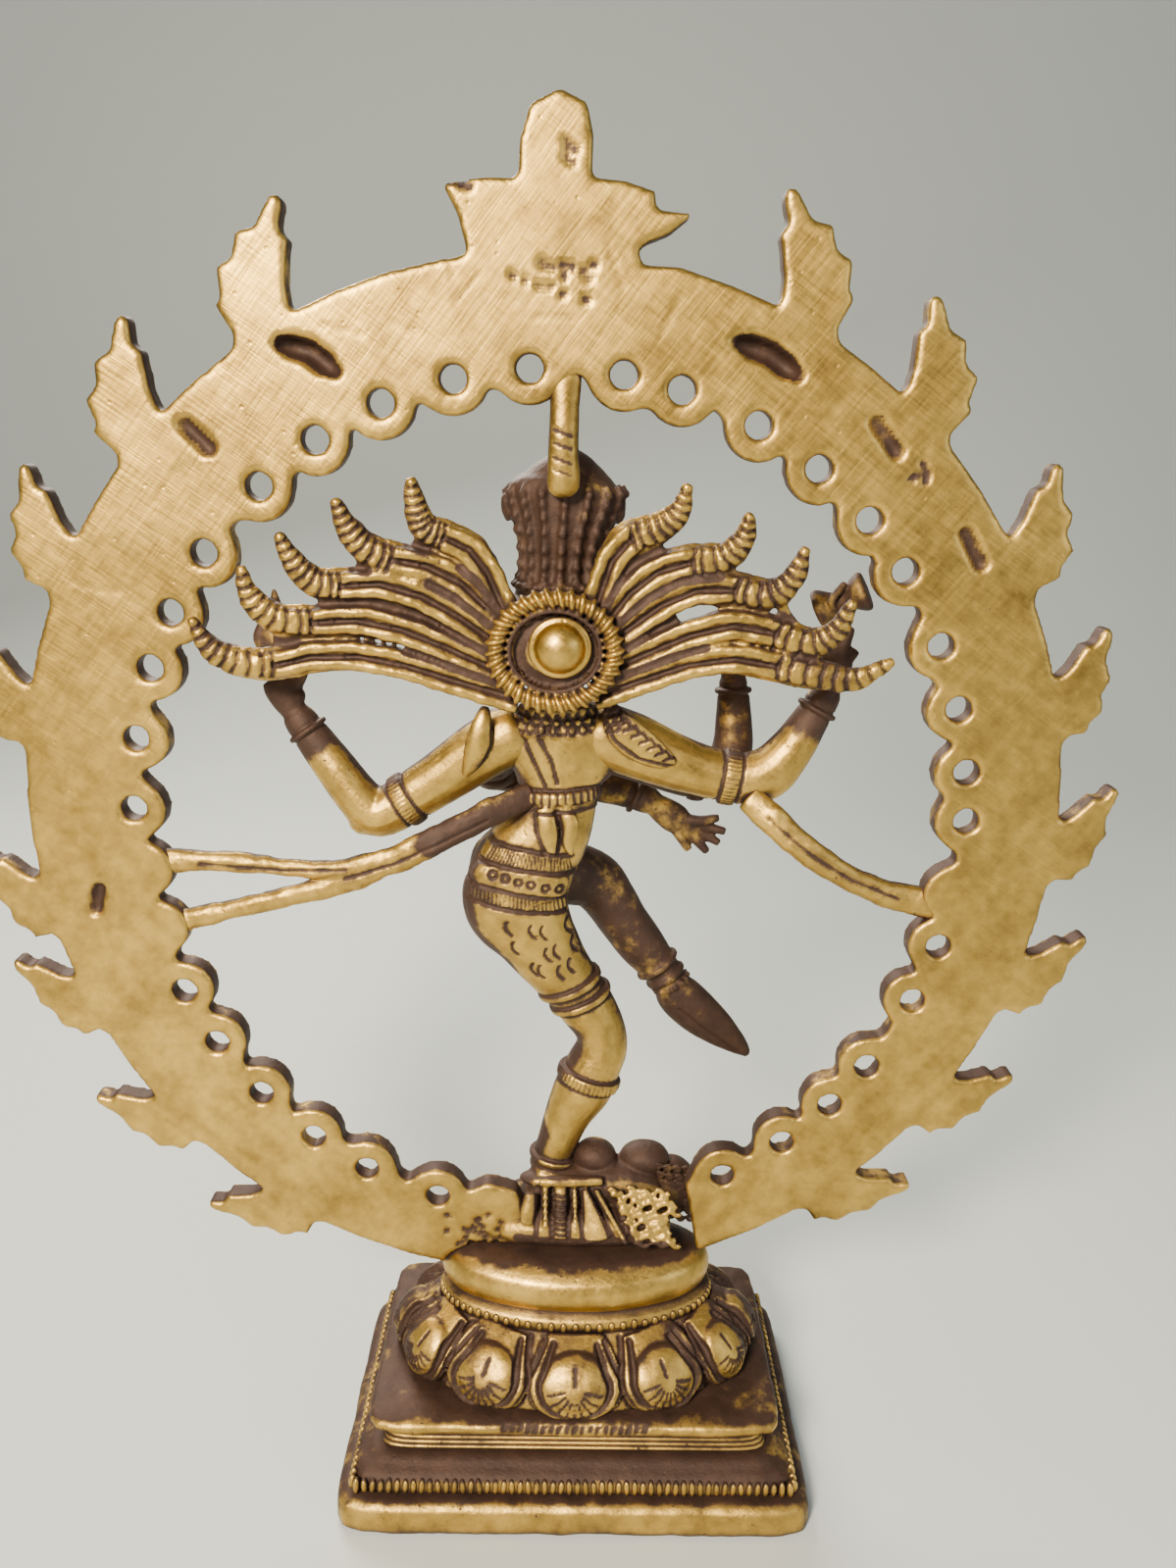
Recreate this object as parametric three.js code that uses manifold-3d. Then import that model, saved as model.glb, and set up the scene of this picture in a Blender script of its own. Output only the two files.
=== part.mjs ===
// A cast brass Nataraja: a four-armed dancer inside a flaming ring, on an oval lotus and a
// stepped plinth. Lost-wax castings, modelled limb by limb and brazed together.
// Millimetres, +Z up. The origin is the middle of the plinth's underside. The dancer faces -Y,
// so +X is the dancer's left hand side and +Y is the back, where the ring's filed face is.
import * as THREE from 'three';
import { mergeVertices } from 'three/addons/utils/BufferGeometryUtils.js';
import Module from 'manifold-3d';

// ---- driving dimensions -------------------------------------------------------------------

const GAP = 0.3;                 // clearance kept between neighbouring castings
const PLINTH_WIDTH = 64;
const PLINTH_DEPTH = 41.4;
const FOOT_TOP = 4.2;            // heights of the plinth's four courses
const BEAD_TOP = 8.2;
const NECK_TOP = 11.8;
const SLAB_TOP = 13.9;
const LOTUS_TOP = 22.6;
const BAND_TOP = 24.6;
const DAIS_TOP = 31.2;
const OVAL_INSET = 10;           // every oval is this much narrower from front to back

const PLATE_BACK = 2.5;          // the ring's back face, and its thickness towards the front
const PLATE_THICK = 3;
const RING_CENTRE = { x: 4.8, z: 92.8 };
const RING_SEMI = { x: 63.8, z: 66 };
const HOLE_CENTRE = { x: 4.1, z: 91.7 };
const HOLE_SEMI = { x: 51.6, z: 55 };
const HOLE_RADIUS = 1.6;
const SCALLOP_RADIUS = 4;
const VALLEY = 0.7;              // how far the edge between scallops stands inside the holes
const LEFT_END = 170;            // where the open ring ends over the dais, degrees from the top
const RIGHT_END = 160;

// The holes and the flames were set out by eye, so their spacing wanders by a degree or two.
// Degrees from the top of the ring, down each side.
const HOLES = {
  left: [3, 12, 21, 30, 39, 50, 59, 67, 77, 87, 115, 124, 134, 144, 153, 164],
  right: [8, 15, 25, 34, 43, 51, 62, 71, 80, 87, 106, 115, 127, 135, 144, 154],
};
const SASH_SCALLOPS = [-98, 96, 105];   // these have no hole, because a sash is brazed there
const FLAMES = {
  left: [29, 45.5, 61.5, 78.5, 101, 113.5, 131, 148.5],
  right: [26, 41, 59.5, 76, 92.5, 109, 126.5, 143.5],
};

const WHEEL = { x: 3.8, y: 5.3, z: 115.4, outer: 8.2, inner: 5.2, boss: 3.5, thick: 1.8 };
const LOCK_COUNT = 5;

// ---- finishes: colour, roughness, metalness -------------------------------------------------

const FINISHES = {
  filed: { color: '#c3a457', roughness: 0.38, metalness: 1 },
  cast: { color: '#8d7642', roughness: 0.5, metalness: 1 },
  patina: { color: '#4a382d', roughness: 0.6, metalness: 0.9 },
};

// ---- solids: join, cut and place ------------------------------------------------------------

const wasm = await Module();
wasm.setup();

function toSolid(geometry) {
  const bare = new THREE.BufferGeometry();
  bare.setAttribute('position', geometry.getAttribute('position'));
  if (geometry.index) bare.setIndex(geometry.index);
  const merged = mergeVertices(bare, 1e-3);
  const solid = new wasm.Mesh({
    numProp: 3,
    vertProperties: new Float32Array(merged.getAttribute('position').array),
    triVerts: new Uint32Array(merged.index.array),
  });
  return new wasm.Manifold(solid);
}

function toGeometry(solid) {
  const mesh = solid.getMesh();
  const geometry = new THREE.BufferGeometry();
  geometry.setAttribute('position', new THREE.BufferAttribute(mesh.vertProperties, 3));
  geometry.setIndex(new THREE.BufferAttribute(mesh.triVerts, 1));
  geometry.computeVertexNormals();
  return geometry;
}

const statue = new THREE.Group();
const shapes = {};

// A shape is a function of how far its skin is moved out. A new piece is cut back from the
// neighbours it names, each grown by the gap, so that no two castings touch.
function cast(name, finish, shape, neighbours = []) {
  shapes[name] = shape;
  let solid = toSolid(shape(0));
  for (const other of neighbours) solid = solid.subtract(toSolid(shapes[other](GAP)));
  const mesh = new THREE.Mesh(toGeometry(solid), new THREE.MeshStandardMaterial(FINISHES[finish]));
  mesh.name = name;
  statue.add(mesh);
}

// ---- basic forms ----------------------------------------------------------------------------

// A rectangle with rounded corners, lying flat from one height to another.
function slab(width, depth, corner, bottom, top, edge) {
  return (grow) => {
    const [x, y, r] = [width / 2 + grow, depth / 2 + grow, corner + grow];
    const outline = new THREE.Shape();
    outline.moveTo(x, y - r);
    outline.absarc(x - r, y - r, r, 0, Math.PI / 2);
    outline.absarc(r - x, y - r, r, Math.PI / 2, Math.PI);
    outline.absarc(r - x, r - y, r, Math.PI, 1.5 * Math.PI);
    outline.absarc(x - r, r - y, r, 1.5 * Math.PI, 2 * Math.PI);
    const height = top - bottom + 2 * grow;
    const geometry = new THREE.ExtrudeGeometry(outline, {
      depth: height - 2 * edge,
      curveSegments: 3,
      bevelEnabled: true,
      bevelThickness: edge,
      bevelSize: edge,
      bevelOffset: -edge,
      bevelSegments: 2,
    });
    return geometry.translate(0, 0, bottom - grow + edge);
  };
}

// A turned form made oval: each [height, half width] is a course of the profile.
function oval(profile, segments = 32) {
  return (grow) => {
    const last = profile.length - 1;
    const points = profile.map(([z, r], i) => {
      const lift = i === 0 ? -grow : i === last ? grow : 0;
      return new THREE.Vector2(r + grow, z + lift);
    });
    points.unshift(new THREE.Vector2(0, points[0].y));
    points.push(new THREE.Vector2(0, points[last + 1].y));
    const geometry = new THREE.LatheGeometry(points, segments).rotateX(Math.PI / 2);
    const at = geometry.getAttribute('position');
    for (let i = 0; i < at.count; i += 1) {
      const radius = Math.hypot(at.getX(i), at.getY(i));
      if (radius > OVAL_INSET) at.setY(i, at.getY(i) * (radius - OVAL_INSET) / radius);
    }
    return geometry;
  };
}

// A limb turned round the line between two joints. profile lists [fraction, radius] along it,
// and flat squeezes it from front to back.
function limb(from, to, profile, flat = 1, segments = 10) {
  const start = new THREE.Vector3(...from);
  const end = new THREE.Vector3(...to);
  const along = end.clone().sub(start).normalize();
  const aside = Math.abs(along.y) > 0.9 ? new THREE.Vector3(1, 0, 0) : new THREE.Vector3(0, 1, 0);
  const across = along.clone().cross(aside).normalize();
  const frame = new THREE.Matrix4().makeBasis(across, along, across.clone().cross(along));
  return (grow) => {
    const length = start.distanceTo(end);
    const points = profile.map(([t, r], i) => {
      const tip = i === 0 ? -grow : i === profile.length - 1 ? grow : 0;
      return new THREE.Vector2(r + grow, t * length + tip);
    });
    points.unshift(new THREE.Vector2(0, points[0].y));
    points.push(new THREE.Vector2(0, points[points.length - 1].y));
    const geometry = new THREE.LatheGeometry(points, segments);
    return geometry.scale(1, 1, flat).applyMatrix4(frame).translate(...from);
  };
}

function ball(centre, semi, across = 12, down = 8) {
  return (grow) => {
    const geometry = new THREE.SphereGeometry(1, across, down).rotateX(Math.PI / 2);
    return geometry.scale(...semi.map((half) => half + grow)).translate(...centre);
  };
}

// A flat outline in the plane of the ring, with its front and back faces at the given depths.
function plate(outlineOf, front, back) {
  return (grow) => {
    const geometry = new THREE.ExtrudeGeometry(outlineOf(grow), {
      depth: back - front + 2 * grow,
      curveSegments: 6,
      bevelEnabled: false,
    });
    return geometry.rotateX(Math.PI / 2).translate(0, back + grow, 0);
  };
}

// A strap that runs through the given points, wide in the plane of the ring.
function strap(points, width, thick, steps = 12) {
  const route = new THREE.CatmullRomCurve3(points.map((at) => new THREE.Vector3(...at)));
  return (grow) => {
    const section = new THREE.Shape();
    section.absellipse(0, 0, thick / 2 + grow, width / 2 + grow, 0, 2 * Math.PI);
    return new THREE.ExtrudeGeometry(section, { extrudePath: route, steps, curveSegments: 5 });
  };
}

// ---- plinth, lotus and dais -----------------------------------------------------------------

const LEDGE = { bead: 4, neck: 11.6, slab: 8.4 };   // how much narrower each course is
cast('plinth_foot', 'filed', slab(PLINTH_WIDTH, PLINTH_DEPTH, 1.6, 0, FOOT_TOP, 1));
function course(ledge, corner, bottom, top, edge) {
  return slab(PLINTH_WIDTH - ledge, PLINTH_DEPTH - ledge, corner, bottom + GAP, top, edge);
}
cast('plinth_bead_course', 'cast', course(LEDGE.bead, 1.6, FOOT_TOP, BEAD_TOP, 1));
cast('plinth_neck', 'cast', course(LEDGE.neck, 1.2, BEAD_TOP, NECK_TOP, 0.3));
cast('plinth_top_slab', 'filed', course(LEDGE.slab, 2.6, NECK_TOP, SLAB_TOP, 0.4));

cast('lotus_base', 'cast', oval([
  [SLAB_TOP + GAP, 25.4], [16, 26.4], [18, 26.2], [20, 24.4], [21.6, 21.4], [LOTUS_TOP, 19.6],
]));
cast('lotus_bead_band', 'cast', oval([[LOTUS_TOP + GAP, 18.8], [BAND_TOP - 0.8, 19.2], [BAND_TOP, 18.7]]));
cast('dais', 'filed', oval([
  [BAND_TOP + GAP, 17.4], [26.2, 18.6], [28, 18.9], [29.8, 18], [DAIS_TOP, 15.4],
]));

// ---- the flaming ring -----------------------------------------------------------------------

function onEllipse(centre, semi, degrees, out = 0) {
  const angle = THREE.MathUtils.degToRad(degrees);
  const [s, c] = [Math.sin(angle), Math.cos(angle)];
  const radius = 1 / Math.hypot(s / semi.x, c / semi.z) + out;
  return [centre.x + radius * s, centre.z + radius * c];
}

// A flame is a stepped tongue that leans towards the crown and ends in a thin finger. Its outline
// runs round from the crown side: [mm along the ring towards the crown, mm out from it].
const FLAME = [
  [3.7, 0], [4.6, 3], [6.6, 7], [6.2, 8.3], [7.5, 10.6], [7.5, 11.6], [6.9, 12], [6.2, 11.6],
  [4.3, 9.8], [2.4, 10.3], [1, 8.2], [-0.8, 8.2], [-1.9, 5.3], [-2.8, 4.9], [-2.8, 1.2], [-3.8, 0],
];

// index 0 is the flame next to the crown. Lower flames are shorter and lie longer on the ring.
function flameOutline(degrees, index, side) {
  const share = Math.max(0.6, 0.94 - 0.1 * index);
  const stretch = 1 + 0.03 * index;
  const points = FLAME.map(([along, out]) => {
    const turn = THREE.MathUtils.radToDeg(along * stretch / RING_SEMI.x);
    return onEllipse(RING_CENTRE, RING_SEMI, side * (degrees - turn), out * share);
  });
  return side > 0 ? points : points.reverse();
}

// The crown flame over the top of the ring, from the dancer's right to the left.
const CROWN = [
  [-9.5, 157.2], [-5.2, 157.4], [-4.8, 159.2], [-8.1, 160.5], [-10.6, 162.5], [-6.6, 162.9],
  [-6.4, 164.7], [-3.3, 165.6], [0.4, 165.9], [0.3, 170], [1, 173], [3.9, 174.3], [7, 172.8],
  [8.1, 169.5], [8.3, 165.7], [11.6, 165.8], [16.4, 165], [14.8, 162.1], [13.7, 158.1],
  [16.5, 157.6],
];

function scallopRise(degrees, angles) {
  let rise = VALLEY;
  for (const hole of angles) {
    const away = THREE.MathUtils.degToRad(degrees - hole) * HOLE_SEMI.x;
    if (Math.abs(away) < SCALLOP_RADIUS) {
      rise = Math.max(rise, Math.sqrt(SCALLOP_RADIUS ** 2 - away ** 2));
    }
  }
  return rise;
}

function ringOutline() {
  const right = HOLES.right.map((angle) => -angle);
  const scallops = [...right, ...HOLES.left, ...SASH_SCALLOPS];
  const points = [];
  const outerArc = (from, to) => {
    const steps = Math.max(1, Math.round(Math.abs(to - from) / 6));
    for (let i = 1; i < steps; i += 1) {
      points.push(onEllipse(RING_CENTRE, RING_SEMI, from + (to - from) * i / steps));
    }
  };
  let last = -RIGHT_END;
  points.push(onEllipse(RING_CENTRE, RING_SEMI, last));
  for (let i = FLAMES.right.length - 1; i >= 0; i -= 1) {
    outerArc(last, -FLAMES.right[i] - 3);
    points.push(...flameOutline(FLAMES.right[i], i, -1));
    last = -FLAMES.right[i] + 3;
  }
  outerArc(last, -12.5);
  points.push(...CROWN);
  last = 10.5;
  for (let i = 0; i < FLAMES.left.length; i += 1) {
    outerArc(last, FLAMES.left[i] - 3);
    points.push(...flameOutline(FLAMES.left[i], i, 1));
    last = FLAMES.left[i] + 3;
  }
  outerArc(last, LEFT_END);
  points.push(onEllipse(RING_CENTRE, RING_SEMI, LEFT_END));
  points.push([6.6, 28.4], [6.6, 36], [8.5, 40], [12.4, 41.2]);
  for (let angle = 168; angle >= -157; angle -= 1.25) {
    points.push(onEllipse(HOLE_CENTRE, HOLE_SEMI, angle, -scallopRise(angle, scallops)));
  }
  points.push([-14.8, 41], [-16.6, 31]);
  return points;
}

function ringShape() {
  const shape = new THREE.Shape(ringOutline().map(([x, z]) => new THREE.Vector2(x, z)));
  for (const [side, angles] of [[1, HOLES.left], [-1, HOLES.right]]) {
    for (const angle of angles) {
      const [x, z] = onEllipse(HOLE_CENTRE, HOLE_SEMI, side * angle);
      const hole = new THREE.Path();
      hole.absarc(x, z, HOLE_RADIUS, 0, 2 * Math.PI);
      shape.holes.push(hole);
    }
  }
  return shape;
}

cast('aureole_ring', 'filed', plate(ringShape, PLATE_BACK - PLATE_THICK, PLATE_BACK), ['dais']);

// Cutters that stand for the ring beside the pieces that end against it.
shapes.ring_rim = plate(() => {
  const rim = new THREE.Shape();
  rim.absellipse(RING_CENTRE.x, RING_CENTRE.z, RING_SEMI.x, RING_SEMI.z, 0, 2 * Math.PI);
  const inside = new THREE.Path();
  const reach = SCALLOP_RADIUS + GAP;
  inside.absellipse(HOLE_CENTRE.x, HOLE_CENTRE.z, HOLE_SEMI.x - reach, HOLE_SEMI.z - reach,
    0, 2 * Math.PI);
  rim.holes.push(inside);
  return rim;
}, PLATE_BACK - PLATE_THICK, PLATE_BACK);

// ---- dwarf under the dancer's foot ----------------------------------------------------------

cast('dwarf_body', 'cast', limb([5.9, -2.6, 36.2], [-9, -2.6, 36.6],
  [[0, 2.6], [0.12, 3.9], [0.5, 4.6], [0.85, 4.4], [1, 3]]), ['dais']);
cast('dwarf_head', 'cast', ball([-13.6, -4.4, 37.6], [4.3, 3.9, 5]), ['dais', 'dwarf_body']);
cast('dwarf_arm', 'patina', limb([-8, -7.4, 34.4], [-1.5, -8.3, 33.4],
  [[0, 1.2], [0.2, 1.7], [0.8, 1.5], [1, 0.9]]), ['dais', 'dwarf_body', 'dwarf_head']);
cast('dwarf_legs', 'patina', limb([1.4, -7.6, 34.2], [9.8, -5.4, 33.9],
  [[0, 1.4], [0.3, 2.4], [0.8, 1.9], [1, 1]]), ['dais', 'dwarf_body', 'dwarf_arm']);

// ---- the dancer: trunk and standing leg -----------------------------------------------------

cast('torso', 'filed', limb([3.4, -4, 94.4], [3.9, -4, 105.6],
  [[0, 4.7], [0.2, 5.2], [0.5, 7.2], [0.75, 8.3], [0.92, 6.6], [1, 3.6]], 0.5, 16));
cast('pelvis', 'filed', limb([3.6, -4, 94.2], [8.9, -4.2, 80.4],
  [[0, 4.6], [0.3, 5.1], [0.6, 6.4], [0.85, 6.7], [1, 5.2]], 0.72, 16), ['torso']);
cast('standing_thigh', 'filed', limb([8.4, -4.3, 80.6], [-0.4, -5.6, 65.6],
  [[0, 4.6], [0.15, 5.2], [0.5, 4.5], [0.85, 4.1], [1, 3.4]]), ['pelvis']);
cast('standing_calf', 'filed', limb([-1, -5.6, 66.6], [-1.6, -4.6, 54.5],
  [[0, 2.6], [0.2, 3.9], [0.6, 3.6], [1, 3.4]]), ['standing_thigh']);
cast('standing_shin', 'filed', limb([-1.8, -4.6, 55.2], [2.9, -4, 40.6],
  [[0, 3], [0.15, 3.7], [0.5, 3.1], [0.85, 2.6], [1, 2.7]]), ['standing_calf', 'dwarf_body']);
cast('standing_foot', 'cast', limb([1.2, -2.4, 40.2], [8, -10.4, 39],
  [[0, 1.8], [0.2, 2.4], [0.7, 2.2], [1, 1.1]], 0.8),
['standing_shin', 'dwarf_body', 'dwarf_legs', 'aureole_ring']);

// ---- raised leg -----------------------------------------------------------------------------

cast('raised_thigh', 'patina', limb([11.8, -8.6, 84], [-2.4, -14.2, 79.6],
  [[0, 3], [0.2, 4.4], [0.7, 4], [1, 2.9]]), ['pelvis', 'standing_thigh']);
cast('raised_calf', 'patina', limb([-2.4, -14.2, 79.8], [-14.2, -14, 63.4],
  [[0, 2.2], [0.12, 3.4], [0.45, 3.3], [0.85, 2.4], [1, 2.2]]), ['raised_thigh']);
cast('raised_foot', 'patina', limb([-12.6, -13.8, 63], [-24.6, -14.4, 52.8],
  [[0, 1.6], [0.15, 2.8], [0.5, 2.7], [0.85, 1.6], [1, 0.8]], 0.8), ['raised_calf']);

// ---- head and headdress ---------------------------------------------------------------------

cast('neck', 'filed', limb([3.9, -4, 105], [3.9, -4.2, 109.4],
  [[0, 2.7], [0.5, 2.3], [1, 2.4]]), ['torso']);
cast('head', 'patina', ball([3.8, -4.6, 114.4], [5, 5.3, 6.3], 14, 10), ['neck']);
cast('headdress', 'patina', limb([3.4, -5.2, 119], [2.6, -5.4, 138],
  [[0, 4.2], [0.12, 5.2], [0.35, 4.6], [0.7, 6.6], [0.85, 7.4], [0.95, 5.6], [1, 3]], 0.7, 14),
['head']);
for (const [side, x] of [['left', 9.6], ['right', -2]]) {
  cast(`earring_${side}`, 'cast', limb([x, -7.2, 109.6], [x, -4.2, 109.6],
    [[0, 1.5], [0.5, 2], [1, 1.5]]), ['head', 'torso']);
}

// ---- arms: the back pair hold the fire and the drum, the front pair bless and point ---------

const UPPER_ARM = [[0, 3], [0.2, 4], [0.6, 3.7], [1, 2.9]];
const FOREARM = [[0, 2], [0.15, 2.9], [0.5, 2.6], [1, 1.9]];
const HAND = [[0, 1.4], [0.3, 2.2], [0.7, 1.9], [1, 0.9]];
// Each arm: shoulder, elbow, wrist and fingertips.
const ARMS = {
  rear_left: [[10, -3.6, 102.2], [25.8, -3.6, 92.6], [34.6, -4.4, 103.6], [38, -5, 112]],
  rear_right: [[-3, -3.6, 102.6], [-23.4, -3.6, 97.6], [-30.6, -4, 109.4], [-31, -4.2, 116.6]],
  front_left: [[9.6, -7.6, 100.4], [13.2, -14, 95.2], [-7.6, -15, 92.2], [-17.4, -15.2, 84]],
  front_right: [[-2.6, -7.4, 100.4], [-18.6, -9.8, 95.4], [-19.2, -10.8, 109.2], [-19.2, -11.4, 118]],
};
const BESIDE = {
  rear_left: ['torso'],
  rear_right: ['torso'],
  front_left: ['torso', 'rear_left_upper_arm'],
  front_right: ['torso', 'rear_right_upper_arm', 'rear_right_forearm'],
};
for (const [arm, [shoulder, elbow, wrist, tips]] of Object.entries(ARMS)) {
  const finish = arm.startsWith('rear') ? 'filed' : 'patina';
  cast(`${arm}_upper_arm`, finish, limb(shoulder, elbow, UPPER_ARM), BESIDE[arm]);
  cast(`${arm}_forearm`, finish, limb(elbow, wrist, FOREARM), [`${arm}_upper_arm`, ...BESIDE[arm]]);
  cast(`${arm}_hand`, 'patina', limb(wrist, tips, HAND, 0.6), [`${arm}_forearm`]);
}
cast('hand_fire', 'patina', limb([38.3, -5, 112.4], [38.8, -5, 121],
  [[0, 1.4], [0.35, 2.6], [0.7, 1.5], [1, 0.4]]), ['rear_left_hand', 'ring_rim']);
cast('hand_drum', 'patina', limb([-34.2, -3.2, 122.2], [-28.2, -5.4, 119],
  [[0, 2.4], [0.15, 2.6], [0.5, 1.3], [0.85, 2.6], [1, 2.4]]), ['rear_right_hand', 'ring_rim']);

// ---- wheel behind the head, with the hair flying from it ------------------------------------

cast('wheel_rim', 'filed', (grow) => {
  const [inner, outer] = [WHEEL.inner - grow, WHEEL.outer + grow];
  const half = WHEEL.thick / 2 + grow;
  const edge = 0.5;
  const profile = [
    [inner, -half], [outer - edge, -half], [outer, edge - half], [outer, half - edge],
    [outer - edge, half], [inner + edge, half], [inner, half - edge], [inner, -half],
  ].map(([r, y]) => new THREE.Vector2(r, y));
  const geometry = new THREE.LatheGeometry(profile, 28).scale(1, 1, 0.88);
  return geometry.translate(WHEEL.x, WHEEL.y, WHEEL.z);
});
cast('wheel_boss', 'filed', (grow) => {
  const half = WHEEL.thick / 2;
  const profile = [
    [0, 0.2 - half - grow], [4.1 + grow, 0.2 - half - grow], [4.1 + grow, 0.2 + grow],
    [WHEEL.boss + grow, 0.4 + grow], [2.9 + grow, 1.6 + grow], [1.6, 2.4 + grow], [0, 2.7 + grow],
  ].map(([r, y]) => new THREE.Vector2(r, y));
  return new THREE.LatheGeometry(profile, 18).translate(WHEEL.x - 0.5, WHEEL.y, WHEEL.z + 0.3);
});
cast('wheel_peg', 'cast', limb([3.6, 0.4, 115.6], [3.6, 4, 115.6],
  [[0, 1.4], [1, 1.4]], 1, 10), ['head']);

// Each lock leaves the wheel, widens, and hooks upwards at its tip. Tips fan from near the
// headdress round to level with the wheel, each one further out than the last.
function lockOutline(index, side) {
  const reach = side > 0 ? 1 : 0.93;
  const rootAngle = THREE.MathUtils.degToRad(52 + 17 * index);
  const tipAngle = THREE.MathUtils.degToRad([40, 56, 68, 77, 87][index]);
  const tipRadius = 25 + 4.4 * index;
  const root = [9.1 * Math.sin(rootAngle), 8.2 * Math.cos(rootAngle)];
  const tip = [tipRadius * Math.sin(tipAngle), tipRadius * Math.cos(tipAngle)];
  const bend = [tip[0] * 0.9, tip[1] - 6.6];
  const route = new THREE.CubicBezierCurve(
    new THREE.Vector2(...root),
    new THREE.Vector2(root[0] * 1.7, root[1] * 1.4),
    new THREE.Vector2(...bend),
    new THREE.Vector2(...tip),
  );
  const steps = 8;
  const upper = [];
  const lower = [];
  for (let i = 0; i <= steps; i += 1) {
    const t = i / steps;
    const at = route.getPoint(t);
    const along = route.getTangent(t);
    const half = i === steps ? 0.35 : 0.75 + 1.5 * Math.sin(Math.PI * Math.min(t * 0.62, 1) ** 1.2);
    upper.push([at.x - along.y * half, at.y + along.x * half]);
    lower.push([at.x + along.y * half, at.y - along.x * half]);
  }
  const points = [...upper, ...lower.reverse()];
  const placed = points.map(([x, z]) => new THREE.Vector2(WHEEL.x + side * reach * x, WHEEL.z + z));
  return new THREE.Shape(placed);
}
for (const [name, side] of [['left', 1], ['right', -1]]) {
  for (let index = 0; index < LOCK_COUNT; index += 1) {
    const before = index > 0 ? [`hair_lock_${name}_${index}`] : [];
    cast(`hair_lock_${name}_${index + 1}`, 'filed',
      plate(() => lockOutline(index, side), PLATE_BACK + 0.4, PLATE_BACK + 2.4),
      ['wheel_rim', ...before]);
  }
}

// ---- ties: strut and flying sashes ----------------------------------------------------------

cast('tie_strut', 'filed', limb([3, 1.2, 146], [3, 1.2, 133.2],
  [[0, 2.2], [0.35, 1.7], [0.8, 1.6], [0.93, 1.9], [1, 1.2]], 0.7),
['headdress', 'ring_rim']);
cast('sash_left', 'cast', strap([[7, -1.4, 95.4], [13, 0.6, 93.6], [24, 1, 87.4], [30, 1, 86.4],
  [42, 1, 87], [54, 1, 87]], 2.8, 2.4), ['torso', 'pelvis', 'ring_rim']);
cast('sash_left_tail', 'cast', strap([[30.4, 1, 84.4], [40, 1, 81.8], [53, 1, 78.4]],
  2.4, 2.2, 8), ['sash_left', 'ring_rim']);
cast('sash_right', 'cast', strap([[-21.6, -1, 95.4], [-24.6, 1, 92.6], [-29, 1.2, 89.2],
  [-36, 1, 85], [-46, 1, 82.8]], 3, 2.6), ['rear_right_upper_arm', 'rear_right_forearm', 'ring_rim']);

export default statue;
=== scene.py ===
# %% [markdown]
# # A cast brass dancer in a ring of flames
#
# The real object is a small household bronze, made by lost-wax casting. Each limb is rolled in
# wax, joined, cast in brass, brazed to its neighbours and then filed where a hand can reach. So
# every shape here is soft at its edges and a little uneven, and its colour tells where the file
# went: gold on the high ground, dark brown in every hollow.
#
# The frame holds the plain CAD pieces. This script builds the finished casting round them.

# %% Load the frame
import math
import random

import bmesh
import bpy
import numpy as np
from mathutils import Matrix, Vector


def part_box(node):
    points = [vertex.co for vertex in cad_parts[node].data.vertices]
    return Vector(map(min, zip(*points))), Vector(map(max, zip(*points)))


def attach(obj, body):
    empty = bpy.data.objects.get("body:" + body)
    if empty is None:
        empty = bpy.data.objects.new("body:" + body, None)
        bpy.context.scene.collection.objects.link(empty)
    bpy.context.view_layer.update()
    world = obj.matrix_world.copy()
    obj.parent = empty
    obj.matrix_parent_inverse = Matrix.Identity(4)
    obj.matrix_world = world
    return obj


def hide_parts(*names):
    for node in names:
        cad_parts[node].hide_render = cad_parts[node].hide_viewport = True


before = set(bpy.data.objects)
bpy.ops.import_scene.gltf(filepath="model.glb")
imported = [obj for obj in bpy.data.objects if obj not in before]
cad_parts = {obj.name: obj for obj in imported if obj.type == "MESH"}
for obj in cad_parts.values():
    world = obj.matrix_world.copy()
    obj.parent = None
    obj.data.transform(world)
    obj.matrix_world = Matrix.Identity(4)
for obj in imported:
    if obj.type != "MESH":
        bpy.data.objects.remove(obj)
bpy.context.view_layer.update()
print("nodes in the frame:", len(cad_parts))

# %% [markdown]
# ## Working in millimetres
#
# The statue is small, so shapes are easier to read in millimetres. They are modelled at that
# size and made metres at the very end. Every place is given from the middle of a CAD node's box,
# so the finished pieces follow the frame.

# %% Places
MM = 0.001      # metres


def near(node, across, back, up):
    """A point so many millimetres from the middle of a CAD node's box."""
    low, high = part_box(node)
    middle = (Vector(low) + Vector(high)) / 2 / MM
    return middle + Vector((across, back, up))


def points(node, *rows):
    return [near(node, *row) for row in rows]


def stations(node, *rows):
    """Rows of (across, back, up, half width, half depth), from the middle of a node's box."""
    return [(near(node, *row[:3]), row[3], row[4]) for row in rows]


def size(node):
    low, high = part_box(node)
    return (Vector(high) - Vector(low)) / MM


PLATE_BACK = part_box("aureole_ring")[1][1] / MM
print("ring plate:", [round(v, 1) for v in size("aureole_ring")], "mm")

# %% [markdown]
# ## The camera
#
# The statue is seen from behind, from close by and a little above, with the wide lens of a
# phone. So close, the plinth looks smaller than the ring, and its top is seen from well above.

# %% Camera
EYE = Vector((1.0, 140.7, 140.3))       # mm
LOOK_DOWN = math.radians(16.8)
LOOK_ASIDE = math.radians(0.57)
TILT = math.radians(1.06)
LENS = 27.04                            # mm, on a sensor 36 mm wide

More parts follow.
